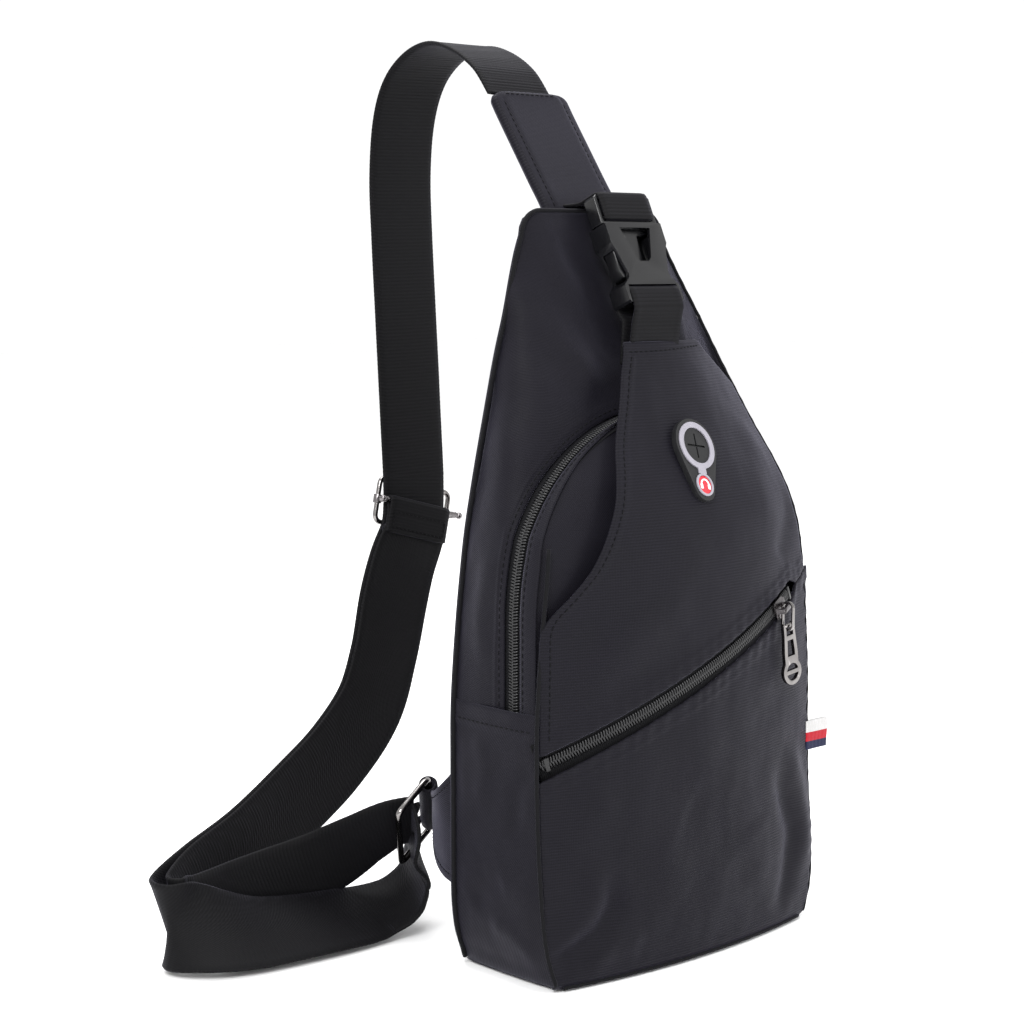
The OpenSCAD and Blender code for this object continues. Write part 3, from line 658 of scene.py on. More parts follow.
LOWER_FOLDS = [
    ([(-85, 8), (-76, 17), (-62, 23), (-54, 33), (-58, 50)], 5.0, -2.6),
    ([(-86, 20), (-72, 29), (-62, 40), (-64, 60)], 7.0, 1.8),
    ([(-70, 12), (-52, 18), (-36, 14)], 7.0, 1.3),
    ([(-82, 60), (-68, 72), (-52, 84)], 9.0, 1.0),
    ([(46, 84), (58, 66), (66, 46), (62, 22), (52, 6)], 6.5, -2.4),
    ([(58, 88), (74, 66), (80, 44), (78, 18)], 7.5, 2.2),
    ([(30, 60), (38, 40), (34, 16)], 14.0, 0.9),
    ([(-20, 70), (-4, 60), (16, 62)], 14.0, -0.9),
]


def d_front_lower(i, j, p):
    x, z = p[0], p[2]
    e = min(smooth((hw(z) - abs(x)) / 16), smooth(z / 9))
    up = smooth((dz_h(x) - z) / 14)
    d = H(i, j)
    d += e * up * (1.1 * wob(x, 0, z, 42, 1) + 0.5 * wob(x, 0, z, 17, 2)) + 0.10 * wob(x, 0, z, 6, 3)
    d = folds(d, x, z, LOWER_FOLDS)
    pk = math.exp(-((dz_h(x) - dz_gap(x) - z) / 7) ** 2)
    d += pk * 0.22 * math.sin(x * 0.83 + 3 * wob(x, 0, 0, 25, 5))
    sm = math.exp(-((hw(z) - abs(x)) / 5) ** 2)
    return d + sm * 0.25 * math.sin(z * 0.75 + 3 * wob(0, 0, z, 20, 6)) * smooth(z / 10)


o, P, N = skin("front_lower_panel", G, CLOTH, -1, M["front"], d_front_lower, xz, slot="front_fabric",
               replaces=("front_lower",))


# upper front panel with its free curved left edge
def fu(t, s):
    z1 = mix(mix(101, 164, s), 271, t)
    x = mix(yoke_left(z1), yoke_right(z1), s)
    xm = mix(-86, 83.5, s)
    z = mix(dz_h(xm) + dz_gap(xm), 271, t)
    return (x, front_y(x, z), z)


G = grid(120, 84, fu)
HU = hem(G, ["left", "top", "bottom"])


UPPER_FOLDS = [
    ([(-70, 128), (-52, 146), (-30, 158), (-8, 160)], 9.0, 0.9),
    ([(-60, 122), (-36, 134), (-10, 142)], 7.0, -0.8),
    ([(60, 236), (46, 210), (42, 186)], 10.0, 1.0),
    ([(76, 200), (62, 184), (52, 172)], 7.0, -1.0),
    ([(-8, 262), (-14, 240), (-12, 214)], 6.0, 0.5),
]


def d_front_upper(i, j, p):
    x, z = p[0], p[2]
    inner = min(smooth((hw(z) - x) / 16), smooth((z - dz_h(x)) / 14), smooth((271 - z) / 14))
    d = HU(i, j)
    port = smooth((math.hypot(x - 2, (z - 218) * 0.8) - 17) / 14)
    d += (port * inner * (0.9 * wob(x, 1, z, 45, 7) + 0.4 * wob(x, 1, z, 18, 8))
          + port * 0.09 * wob(x, 1, z, 6, 9))
    d = folds(d, x, z, UPPER_FOLDS)
    pk = math.exp(-((z - dz_h(x) - dz_gap(x)) / 7) ** 2)
    return d + pk * 0.2 * math.sin(x * 0.9 + 2 + 3 * wob(x, 0, 0, 25, 11))


o, P, N = skin("front_upper_panel", G, CLOTH, -1, M["front"], d_front_upper, xz, slot="front_fabric",
               replaces=("front_upper",))
for e, sk in (("left", 3), ("top", 3)):
    stitches(edge_path(P, N, e, 4.2, sk))


# left side: one panel from the base to the hem where the main zip starts
def sl(t, s):
    z = mix(1.2, 118.2, t)
    f = edge_y(z) + 1.6
    b = BACK_Y - 5.2
    k = 1.0 - 1.4 * max(0.0, 1 - z / 6) ** 2
    return (-(hw(z) - 0.1 + 5 * s * (1 - s)) - (1 - k) * -1.2, mix(f, b, s), z)


G = grid(90, 44, sl)
HS = hem(G, ["top"], 9.0, 0.7)


def d_side(i, j, p):
    y, z = p[1], p[2]
    e = smooth((y + 30) / 8) * smooth((25 - y) / 8)
    d = HS(i, j) + e * (0.9 * wob(3, y, z, 30, 12) + 0.35 * wob(3, y, z, 12, 13)) * smooth(z / 12)
    d += (ridge(y, z, [(-24, 100), (-16, 84), (-12, 60)], 4.5, -0.9)
          + ridge(y, z, [(10, 108), (4, 92), (8, 70)], 5, 0.8))
    d += (ridge(y, z, [(14, 30), (2, 40), (-10, 44)], 5, -0.8)
          + ridge(y, z, [(-26, 12), (-12, 22), (4, 24)], 5, 0.8))
    return d + 0.08 * wob(3, y, z, 5, 14)


def yz(p):
    return (p[1], p[2])


o, P, N = skin("left_side_panel", G, CLOTH, 1, M["shell"], d_side, yz, slot="shell_fabric",
               replaces=("side_wall_left", "gusset_hem"))
stitches(edge_path(P, N, "top", 7.0, 2))


# right side, from the base to the top seam
def sr(t, s):
    z = mix(1.2, 326, t)
    y = mix(min(edge_y(z) + 1.6, BACK_Y - 6.5), BACK_Y - 5.2, s)
    return (top_half(z) - 0.1 + skew(z) + 5 * s * (1 - s) * lookup(z, [[0, 1], [230, 1], [300, 0.2]]), y, z)


G = grid(150, 30, sr)


def d_right(i, j, p):
    y, z = p[1], p[2]
    w = lookup(z, [[0, 0.3], [12, 1], [200, 1], [260, 0.2]])
    e = smooth((y - edge_y(z)) / 8) * smooth((25 - y) / 8) * w
    d = e * (1.1 * wob(8, y, z, 34, 15) + 0.4 * wob(8, y, z, 12, 16))
    d += (ridge(y, z, [(-24, 120), (-12, 96), (-14, 66)], 5, -1.0 * w)
          + ridge(y, z, [(12, 160), (2, 130), (6, 96)], 6, 0.9))
    return d + ridge(y, z, [(-18, 60), (-4, 44), (8, 40)], 5, -0.8) + 0.08 * wob(8, y, z, 5, 17)


skin("right_side_panel", G, CLOTH, -1, M["shell"], d_right, yz, slot="shell_fabric",
     replaces=("side_wall_right",))


# front of the main compartment, inside the arch of the zip, with a rounded rim
def pf(t, s):
    z = mix(ARCH_LOW, 238.8, t)
    x = (2 * s - 1) * (arch_half(z) - 0.9)
    return (x, pouch_y(x, z) + 1.6 * abs(2 * s - 1) ** 14, z)


G = grid(90, 70, pf)


def d_pouch(i, j, p):
    x, z = p[0], p[2]
    e = smooth((arch_half(z) - abs(x)) / 10)
    d = e * (0.9 * wob(x, 4, z, 36, 18) + 0.3 * wob(x, 4, z, 14, 19))
    return d + ridge(x, z, [(-78, 190), (-64, 204), (-52, 222)], 5.0, 1.0) + 0.07 * wob(x, 4, z, 5, 20)


skin("compartment_front", G, CLOTH, -1, M["shell"], d_pouch, xz, slot="shell_fabric",
     replaces=("pouch_front",))


def gf(t, s):
    y = mix(lookup(mz_pt(s, 0, 0)[2], PY) - 0.4, MZ_Y - 5.2, t)
    return mz_pt(s, 0.4 + 0.5 * math.sin(math.pi * t), y)


G = grid(9, 130, gf)
HG = hem(G, ["top"], 3.0, 0.25)
o, P, N = skin("zip_gusset_left", G, 1.2, -1, M["shell"], lambda i, j, p: HG(i, j) + 0.12 * wob(*p, 9, 21),
               slot="shell_fabric", replaces=("gusset_front",))
stitches(edge_path(P, N, "top", 1.9, 2))


def gr(t, s):
    a = mix(MZ_END + 0.3, 63.5, s)
    r = ARCH_R + 0.6
    z = MZ_Z + r * cosd(a)
    return (r * sind(a), mix(lookup(z, PY) - 0.4, MZ_Y + 5.4, t), z)


skin("zip_gusset_right", grid(10, 50, gr), 1.2, -1, M["shell"], lambda i, j, p: 0.2 * wob(*p, 12, 22),
     slot="shell_fabric", replaces=("gusset_right",))


def walk(Q):
    """a polyline that can be sampled by its share of the length"""
    Q = [V(q) for q in Q]
    L = lengths(Q)

    def at(s):
        s = clamp(s) * L[-1]
        for i in range(len(L) - 1):
            if s <= L[i + 1] or i == len(L) - 2:
                return Q[i].lerp(Q[i + 1], (s - L[i]) / max(L[i + 1] - L[i], 1e-9))
    return at


# shell behind the main zip: from the rear tape back to the seam of the back panel, over the top
# and down the right side as far as the upper front panel hides it
inner_pts = [(-side_x(z) - 0.2, MZ_Y + 5.4, z) for z in range(ARCH_LOW, 190, 4)]
inner_pts += [((ARCH_R + 0.2) * sind(a), MZ_Y + 5.4, MZ_Z + (ARCH_R + 0.2) * cosd(a))
              for a in range(-65, 63, 3)]
outer_left = [(-hw(z) + 0.4, BACK_Y - 5.1, z) for z in range(112, 317, 5)]
outer_top = [(-32.4 - 10 * cosd(a), 24.8 - 0.012 * a, CORNER_Z + 10 * sind(a)) for a in range(0, 91, 15)]
outer_top += [(0, 23.4, 327.6)]
outer_top += [(32.2 + 10 * cosd(a), 22.6 + 0.01 * a, CORNER_Z + 10 * sind(a)) for a in range(90, -1, -15)]
outer_right = [(hw(z) - 0.6, edge_y(z) + 1.0, z) for z in range(315, 205, -5)]
in_path, out_path = walk(inner_pts), walk(outer_left + outer_top + outer_right)
OUT_KEYS = [[0, 0], [0.27, 0.205], [0.45, 0.39], [0.585, 0.47], [0.66, 0.545], [0.735, 0.62],
            [0.86, 0.80], [1, 1]]
BULGE = [(0, (-1.0, -0.8, 0.2)), (0.25, (-2.2, -1.8, 0.5)), (0.38, (-5.6, -4.0, 1.2)),
         (0.47, (-5.2, -3.2, 1.8)), (0.56, (-2.0, 0.8, 1.6)), (0.62, (-0.6, 1.6, 0.8)),
         (0.66, (0, 0.6, 0.4)), (0.74, (0.8, 1.8, 0.6)), (0.86, (1.2, 0.5, 0.6)), (1, (0, 0, 0))]


def bulge(u):
    for (a, p), (b, q) in zip(BULGE, BULGE[1:]):
        if u <= b:
            return V(p).lerp(V(q), smooth((u - a) / (b - a)))
    return V((0, 0, 0))


def sh(t, s):
    p = in_path(s).lerp(out_path(soft(s, OUT_KEYS, 0.03)), t)
    return p + bulge(s) * 4 * t * (1 - t) + V((skew(p.z), 0, 0))


G = grid(72, 190, sh)
HZ = hem(G, ["bottom"], 5.0, 0.3)


def d_shell(i, j, p):
    x, y, z = p
    t, u = i / 71, j / 189
    e = smooth(5 * t) * smooth(5 * (1 - t)) * smooth(u * 12)
    d = HZ(i, j) + e * (1.3 * wob(x, y, z, 40, 30) + 0.5 * wob(x, y, z, 16, 31)) + 0.08 * wob(x, y, z, 5, 32)
    d += ridge(x, z, [(-60, 308), (-50, 286), (-34, 262), (-24, 246)], 9, 2.6)
    d += ridge(x, z, [(-30, 322), (-20, 300), (-14, 276), (-10, 256)], 8, -2.4)
    d += ridge(x, z, [(-66, 262), (-72, 232), (-80, 200)], 9, -1.0 * (1 if x < 0 else 0))
    return d + (ridge(x, z, [(24, 318), (34, 300), (44, 282)], 7, 1.2)
                + ridge(y, z, [(6, 186), (10, 160), (6, 132)], 6, 0.9 * (x < 0)))


o, P, N = skin("shell_panel", G, CLOTH, -1, M["shell"], d_shell, slot="shell_fabric",
               replaces=("shell_left", "shell_top"))
stitches(edge_path(P, N, "bottom", 2.2, 2))


# base, back pad and the inner wall of the front pocket
def bs(t, s):
    x = (2 * s - 1) * mix(77.6, 78.6, smooth(4 * t))
    return (x, mix(front_y(x, 2) + 1.4, 25.6, t), 0.35 + 0.5 * (1 - smooth(8 * t) * smooth(8 * (1 - t))))


skin("base_fabric", grid(40, 80, bs), 1.3, 1, M["shell"], lambda i, j, p: 0.12 * wob(p[0], p[1], 0, 14, 40),
     lambda p: (p[0], p[1]), slot="shell_fabric", replaces=("base_panel",))


def back_half(z):
    return top_half(z) - 0.2 * smooth((328 - z) / 5)


def bk(side):
    def f(t, s):
        z = mix(2.4, 328.6, t)
        x = (2 * s - 1) * back_half(z)
        d = min(back_half(z) - abs(x), z - 2.4, 328.6 - z)
        c = smooth(d / 9) ** 0.6
        if side > 0:
            return (x + skew(z), BACK_Y - 2.2 + 2.2 * c - 0.9 * math.exp(-((d - 13) / 2.2) ** 2), z)
        return (x + skew(z), BACK_Y - 3.4 - 1.4 * c, z)
    return f


n_, m_ = 90, 60
rear, front = grid(n_, m_, bk(1)), grid(n_, m_, bk(-1))
NR = normals(rear, 1)


def puff(i, j):
    p = rear[i][j]
    return NR[i][j] * (0.5 * wob(p[0], 9, p[2], 24, 41) * smooth(min(i, n_ - 1 - i, j, m_ - 1 - j) / 6))


rear = [[rear[i][j] + puff(i, j) for j in range(m_)] for i in range(n_)]
verts = [p for r in rear for p in r] + [p for r in front for p in r]
uvs = [(p[0], p[2]) for p in verts]
faces, k_ = [], n_ * m_
for i in range(n_ - 1):
    for j in range(m_ - 1):
        a = i * m_ + j
        faces += [(a, a + m_, a + m_ + 1, a + 1), (a + k_, a + k_ + 1, a + k_ + m_ + 1, a + k_ + m_)]
ring_ = outline(n_, m_)
for q in range(len(ring_)):
    (i, j), (a, b) = ring_[q], ring_[(q + 1) % len(ring_)]
    faces.append((i * m_ + j, a * m_ + b, a * m_ + b + k_, i * m_ + j + k_))
back = mesh("back_pad", verts, faces, M["shell"], uvs=uvs, slot="shell_fabric",
            replaces=("back_panel", "back_foam"))
for j in (6, 53):
    stitches([(rear[i][j], NR[i][j]) for i in range(6, 82)], pitch=3.4)


def pb(t, s):
    z = mix(8, 224, t)
    x = (2 * s - 1) * (min(hw(z), arch_half(z)) - 9)
    return (x, -16 + 3 * (2 * s - 1) ** 2, z)


skin("pocket_lining", grid(40, 24, pb), 0.8, -1, M["lining"],
     lambda i, j, p: 0.5 * wob(p[0], 2, p[2], 30, 42), xz, slot="lining", replaces=("pocket_back",))

# piping on the seams
Q = [V((-(min(hw(z), side_x(z) + 1) + 0.5), edge_y(z) + 0.7 + 0.15 * math.sin(z * 0.9), z)) for z in
     [3, 5, 8] + list(range(11, 190, 3))]
tube("front_piping", Q, lambda s: 1.0, M["bind"], k=10, slot="binding", replaces=("piping_front",))
Q = [V((top_half(z) + skew(z) + 0.3, edge_y(z) + 0.7 + 0.15 * math.sin(z * 0.8), z))
     for z in [3, 5, 8] + list(range(11, 322, 3))]
tube("right_seam", Q, lambda s: 0.8, M["bind"], k=8, slot="binding")
half = [(hw(z) + 0.8, z) for z in [3, 5, 8] + list(range(11, 316, 3))]
half += [(32.8 + 10.8 * cosd(a), CORNER_Z + 10.8 * sind(a)) for a in range(0, 91, 10)]
half += [(x, 328.4) for x in (27, 21, 14, 7)]
Q = [V((skew(z) - x, BACK_Y - 5.6 + 0.12 * math.sin(z * 0.7), z)) for x, z in half]
Q += [V((skew(z) + x, BACK_Y - 5.6 + 0.12 * math.sin(z * 0.7), z)) for x, z in half[::-1]]
tube("back_piping", Q, 1.1, M["bind"], k=10, slot="binding", replaces=("piping_back",))
Q = [V((x, front_y(x, 2) + 0.6, 1.6)) for x in range(-77, 78, 3)]
tube("base_seam", Q, 0.8, M["bind"], k=8, slot="binding")


# ---------------------------------------------------------------- zips
# one tooth of the coil: distance across, height, slant and radius at each of its points
COIL = [(2.75, -0.75, 0.30, 0.30), (2.5, -0.15, 0.26, 0.44), (1.7, 0.28, 0.12, 0.47),
        (0.8, 0.34, -0.05, 0.47), (0.05, 0.22, -0.2, 0.52), (-0.35, -0.25, -0.24, 0.42)]


def zip_rows(path, length, pitch=1.3, side=1):
    """coil teeth of one side; path(s) gives the centre, the direction along, out and across"""
    parts = []
    n = int(length / pitch)
    for q in range(n):
        s = (q + (0.25 if side > 0 else 0.75)) * pitch
        c, t, o, b = path(s)
        b = b * side
        pts, rad = [], []
        for across, out, slant, r in COIL:
            pts.append(c + b * across + o * out + t * slant)
            rad.append(r)
        it = iter(rad)
        parts.append(tube(None, pts, lambda z, it=it: next(it), None, k=6))
    return join(parts)


def tape(name, path, length, a, b, out, node, n):
    rows = []
    for i in range(n):
        c, t, o, w = path(length * i / (n - 1))
        rows.append([c + w * mix(a, b, k / 8) + o * (out + 0.12 * math.sin(math.pi * k / 8))
                     for k in range(9)])
    c, t, o, w = path(0)
    sign = 1 if t.cross(w).dot(o) * (1 if b > a else -1) > 0 else -1
    return skin(name, rows, 0.55, sign, M["tape"], lambda i, j, p: 0.06 * wob(p[0], p[1], p[2], 4, 50),
                slot="zip_tape", replaces=(node,))


MAIN_LEN = SIDE_LEN + math.radians(78) * ARCH_R


def main_path(s):
    e = 0.002
    u = s / MAIN_LEN
    lo = SIDE_LEN / MAIN_LEN

    def g(w):
        if w < lo:
            return SIDE_SHARE * w / lo
        return SIDE_SHARE + ARCH_SHARE * (w - lo) / (1 - lo)
    c = mz_pt(clamp(g(u)), -0.35, MZ_Y)
    t = (mz_pt(clamp(g(min(u + e, 1))), 0, MZ_Y) - mz_pt(clamp(g(max(u - e, 0))), 0, MZ_Y)).normalized()
    w = V((0, 1, 0))
    return c, t, w.cross(t).normalized() * -1, w


def diag_path(s):
    a = mix(-24.6, 18.6, s / DIAG_LEN)
    c = dz_pt(a, DZ_R - 1.05, 0)
    t = (dz_pt(a + 0.1, DZ_R, 0) - dz_pt(a - 0.1, DZ_R, 0)).normalized()
    o = (dz_pt(a, DZ_R + 1, 0) - dz_pt(a, DZ_R, 0)).normalized()
    w = (dz_pt(a, DZ_R, 1) - dz_pt(a, DZ_R, 0)).normalized()
    return c, t, o, w


DIAG_LEN = math.radians(43.2) * DZ_R
TAPE_IN, TAPE_OUT, TAPE_MORE = 0.3, -0.85, 0.9


def zip_pair(name, sides, coil_path, coil_len, tape_name, tape_path, tape_len, half, n):
    """the two coils and the two tapes of one zip"""
    for side, row in zip((-1, 1), sides):
        v, f, u = zip_rows(coil_path, coil_len, side=side)
        mesh(f"{name}_coil_{row}", v, f, M["coil"], slot="zip_teeth", replaces=(f"{name}_teeth_{row}",))
    for (a, b), row in zip(((-half, -TAPE_IN), (TAPE_IN, half)), sides):
        tape(f"{tape_name}_{row}", tape_path, tape_len, a, b, TAPE_OUT, f"{name}_tape_{row}", n)


zip_pair("main", ("front", "rear"), main_path, MAIN_LEN, "main_zip_tape", main_path, MAIN_LEN, 7.3, 150)
zip_pair("front", ("lower", "upper"), diag_path, DIAG_LEN, "pocket_zip_tape",
         lambda s: diag_path(s - TAPE_MORE), DIAG_LEN + TAPE_MORE, 10.3, 110)
for node in ("main_stop", "front_stop_left", "front_stop_right"):
    copy_cad(node, M["coil"], 0.4)
for node in ("front_slider", "main_slider"):
    copy_cad(node, M["dark"], 0.38)
for node, width in (("front_link", 0.4), ("front_pull", 0.4), ("main_pull", 0.35)):
    copy_cad(node, M["metal"], width)


# ---------------------------------------------------------------- webbing
def band(name, T, W, half, t, mat=None, step=0.55, cols=13, rib=2.1, depth=0.05, crown=0.0, **kw):
    """A flat strap with ribs and thin edges: T is its centreline, W the direction across it."""
    m = len(T) - 1
    fine = [catmull(T, m * i / 240) for i in range(241)]
    s = lengths(fine)
    n = max(6, int(s[-1] / step))
    rows, run, k = [], [], 0
    for i in range(n):
        d = s[-1] * i / (n - 1)
        while k < 239 and s[k + 1] < d:
            k += 1
        u = m * (k + (d - s[k]) / max(s[k + 1] - s[k], 1e-9)) / 240
        p, v = catmull(T, u), catmull(W, u)
        g = (catmull(T, min(u + 0.02, m)) - catmull(T, max(u - 0.02, 0))).normalized()
        v = (v - g * v.dot(g)).normalized()
        rows.append([p + v * half * (2 * c / (cols - 1) - 1) for c in range(cols)])
        run.append(d)

    def disp(i, j, p):
        e = abs(2 * j / (cols - 1) - 1)
        return (depth * math.cos(2 * math.pi * run[i] / rib) - 0.28 * smooth((e - 0.88) / 0.12)
                + crown * (1 - e * e) + 0.10 * wob(*p, 22, 60))
    return skin(name, rows, t, 1, mat or M["web"], disp, **kw)


UP = [(-4, 73.2, 381.4), (-3.6, 84, 393.6), (-2.6, 100, 402.6), (-1.2, 118, 406.8), (0, 136, 403),
      (0, 150, 392), (0, 158, 374), (0, 161, 348), (0, 160, 320), (0, 158, 290), (0, 156, 260), (0, 154, 230),
      (0, 152, 200)]
LP = [(0, 152.1, 201.2), (-1, 151, 186), (-3.6, 150.3, 173), (-10.3, 150.7, 157.6), (-15.9, 150.8, 139.7),
      (-22.5, 150.6, 113.6), (-33.7, 149.1, 89.1), (-56.6, 145.6, 68.8), (-85.9, 139.6, 53.2),
      (-122, 130, 38.6), (-154.4, 121.4, 29.4), (-175.2, 113.6, 22.8), (-182.6, 102.5, 21.5),
      (-173.4, 93.3, 19), (-160, 87.8, 16.2), (-138, 86.6, 12.4), (-108, 85.7, 10.2), (-84.7, 86.5, 9.4),
      (-72, 83, 12.2), (-64.6, 79, 19.6), (-64, 75.4, 30), (-67.4, 71.6, 41.2), (-68.6, 70.8, 48),
      (-68, 74, 53)]
LV = [(1, 0, 0), (1, 0, -0.1), (0.98, 0, -0.18), (0.93, -0.05, -0.37), (0.96, -0.08, -0.26),
      (0.95, -0.05, -0.32), (0.8, -0.09, -0.6), (0.58, -0.1, -0.81), (0.44, -0.09, -0.89),
      (0.35, -0.05, -0.94), (0.31, -0.04, -0.95), (0.3, -0.08, -0.95), (0.17, -0.25, -0.95),
      (-0.15, -0.5, -0.85), (-0.22, -0.66, -0.72), (-0.24, -0.82, -0.52), (-0.3, -0.86, -0.41),
      (-0.37, -0.86, -0.35), (-0.36, -0.88, -0.32), (-0.36, -0.91, -0.22), (-0.4, -0.88, 0.16),
      (-0.47, -0.54, 0.66), (-0.48, -0.52, 0.7), (-0.48, -0.52, 0.7)]
IP = [(-68, 74, 52), (-77, 81, 49.5), (-86, 90, 42.5), (-98, 99.5, 33.5), (-113, 104.5, 27),
      (-130, 105.5, 23.5), (-145, 104, 22), (-158, 100.5, 21.5), (-169.5, 99.4, 21), (-176.6, 104, 21.4),
      (-172.5, 110.4, 23.4), (-154, 119.5, 30), (-122, 128, 39.5), (-86, 137.5, 54.5), (-57, 143.5, 70),
      (-34.5, 147, 90), (-23.5, 148.5, 114), (-17, 148.7, 140), (-11.3, 148.6, 158), (-5.3, 148.8, 169.8),
      (-4, 147.9, 175.6)]
IV = [(0.48, 0.52, -0.7), (0.46, 0.5, -0.73), (0.4, 0.42, -0.81), (0.26, 0.28, -0.92), (0.1, 0.1, -0.98),
      (0, -0.1, -0.99), (0, -0.22, -0.97), (0, -0.3, -0.95), (0.06, -0.3, -0.95), (0.14, -0.2, -0.96),
      (0.2, -0.1, -0.97), (0.28, -0.05, -0.95), (0.36, -0.05, -0.93), (0.46, -0.08, -0.88),
      (0.66, -0.08, -0.74), (0.85, -0.08, -0.5), (0.96, -0.05, -0.28), (0.96, -0.08, -0.24),
      (0.97, -0.05, -0.24), (0.97, 0, -0.25), (0.97, 0, -0.25)]
WEB_HALF, WEB_T = 19.0, 1.8
band("shoulder_strap_upper", UP, [(1, 0, 0)] * len(UP), WEB_HALF, WEB_T, slot="webbing",
     replaces=("strap_upper",))
band("shoulder_strap_lower", LP, LV, WEB_HALF, WEB_T, slot="webbing", replaces=("strap_lower",))
inner = band("shoulder_strap_return", IP, IV, WEB_HALF, WEB_T, body=None, slot="webbing",
             replaces=("strap_inner",))[0]
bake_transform(inner)


def in_frame(origin, tilt, turn=0.0):
    c, s, ct, st = cosd(tilt), sind(tilt), cosd(turn), sind(turn)

    def at(x, y, z):
        x, z = x * ct + z * st, z * ct - x * st
        return V((origin[0] + x, origin[1] + y * c + z * s, origin[2] - y * s + z * c))
    return at


at_adj = in_frame((-1.2, 152, 185.5), 3.8, 14.5)
at_buckle = in_frame((1.5, 5, 310.5), 24.2)


def arc(cy, cz, r, a0, a1, n):
    turns = [mix(a0, a1, i / (n - 1)) for i in range(n)]
    return [(cy + r * cosd(a), cz + r * sind(a)) for a in turns]


def profile(name, at, pts, half, t, body, x=0.0, **kw):
    """webbing folded along a line of (y, z) points of a tilted frame, t thick"""
    T = [tuple(at(x, y, z)) for y, z in pts]
    W = tuple(at(1, 0, 0) - at(0, 0, 0))
    return band(name, T, [W] * len(T), half, t, body=body, step=0.4, **kw)


# end of the webbing, folded round the adjuster's bar and sewn to itself
fold = [(-6.2, -15.4), (-6.3, -11), (-6.35, -6), (-6.35, -1.5)] + arc(-3.9, 0, 2.45, 172, 20, 8)
fold += [(-1.9, -1.8), (-2.7, -3.6), (-3.1, -6), (-3.2, -11), (-3.2, -15.4)]
o, P, N = profile("strap_end_fold", at_adj, fold[::-1], WEB_HALF - 0.2, 1.35, "adjuster", slot="webbing",
                  replaces=("strap_end",))
for z_ in (-5.5, -13.2):
    line = [(at_adj(x_, -6.35, z_), at_adj(x_, -7.35, z_) - at_adj(x_, -6.35, z_))
            for x_ in range(-17, 18, 2)]
    stitches(line, "adjuster", 2.6, 2.0, 0.26, 0.1)
for x_ in (-16.5, 16.5):
    line = [(at_adj(x_, -6.35, z_ * 0.5), at_adj(x_, -7.35, 0) - at_adj(x_, -6.35, 0))
            for z_ in range(-27, -10, 2)]
    stitches(line, "adjuster", 2.6, 2.0, 0.26, 0.1)


def rounded_loop(a, b, r, n=7):
    """corner-rounded rectangle of half sizes a and b, counter-clockwise, as (x, y) points"""
    out = []
    for sx, sy, start in ((1, 1, 0), (-1, 1, 90), (-1, -1, 180), (1, -1, 270)):
        for i in range(n):
            g = start + 90 * i / (n - 1)
            out.append((sx * (a - r) + r * cosd(g), sy * (b - r) + r * sind(g)))
    dense = []
    for (x0, y0), (x1, y1) in zip(out, out[1:] + out[:1]):
        k = max(1, int(math.hypot(x1 - x0, y1 - y0) / 2.5))
        dense += [(mix(x0, x1, i / k), mix(y0, y1, i / k)) for i in range(k)]
    return dense


# the adjuster's loop, its bar, and at each end the eye that holds them together and the bar's cap
LOOP_Y, LOOP_X, LOOP_HALF, BAR_Y = 3.7, 2.2, 22.6, -3.9
tube("adjuster_loop", [at_adj(x + LOOP_X, LOOP_Y, z) for x, z in rounded_loop(LOOP_HALF, 11, 3.5)], 1.3,
     M["metal"], k=16, closed=True, body="adjuster", slot="bright_metal", replaces=("adjuster_frame",))
parts = [tube(None, [at_adj(x, BAR_Y, 0) for x in (-LOOP_HALF, -21, -10, 2, 14, 25, 26.8)], 1.1, None, k=14)]
for x in (-20.4, 24.8):
    parts.append(tube(None, [at_adj(x, LOOP_Y, z) for z in (-2.1, -1.9, 1.9, 2.1)],
                      lambda s: 2.2 - 8 * abs(s - 0.5) ** 6, None, k=18))
    parts.append(tube(None, [at_adj(x, y, 0) for y in (-4.4, -3.5, -1, 2)],
                      lambda s: 1.75 - 3 * max(0, 0.2 - s), None, k=14))
for x, d in ((-23, -1), (27, 1)):
    parts.append(tube(None, [at_adj(x + d * k, BAR_Y, 0) for k in (-1.7, -1.2, -0.5, 0.5, 1.2, 1.7)],
                      lambda s: 1.8 * math.sqrt(max(0.04, 1 - (2 * s - 1) ** 2)), None, k=14))
v, f, u = join(parts)
mesh("adjuster_bar_piece", v, f, M["dark"], uvs=u, body="adjuster", slot="dark_metal",
     replaces=("adjuster_bar",))

# ring on its tab
ring_n = V((0.33, -0.85, -0.4)).normalized()
ring_l = V((0.48, 0.52, -0.7))
ring_l = (ring_l - ring_n * ring_l.dot(ring_n)).normalized()
ring_s = ring_n.cross(ring_l)
RING_C = V((-68, 74, 52))


def ring_pt(x, y, z):
    return RING_C + ring_l * x + ring_s * y + ring_n * z


tube("strap_ring", [ring_pt(x, y, 0) for x, y in rounded_loop(21.75, 11.5, 3)], 1.5, M["metal"], k=16,
     closed=True, body="ring", slot="bright_metal", replaces=("ring",))
TAB_A, TAB_B = ring_pt(-15, 11, 2.7), ring_pt(15, 11, 2.7)


def tab(t, s):
    p = V((-85.8, 24.6, 88)).lerp(V((-85.4, 24.6, 36)), s).lerp(TAB_A.lerp(TAB_B, s), t)
    return p + V((-5, 0, -4)) * 4 * t * (1 - t)


G = grid(60, 40, tab)
HT = hem(G, ["left", "right"], 5, 0.35)


def d_tab(i, j, p):
    return HT(i, j) + 0.5 * wob(*p, 18, 61) * smooth(min(i, 59 - i, j, 39 - j) / 8)


o, P, N = skin("ring_tab_cloth", G, 1.8, 1, M["shell"], d_tab, slot="shell_fabric", replaces=("ring_tab",))
for e in ("left", "right"):
    stitches(edge_path(P, N, e, 3.2, 2))
line = [(P[54][j], N[54][j]) for j in range(3, 37)]
stitches(line)


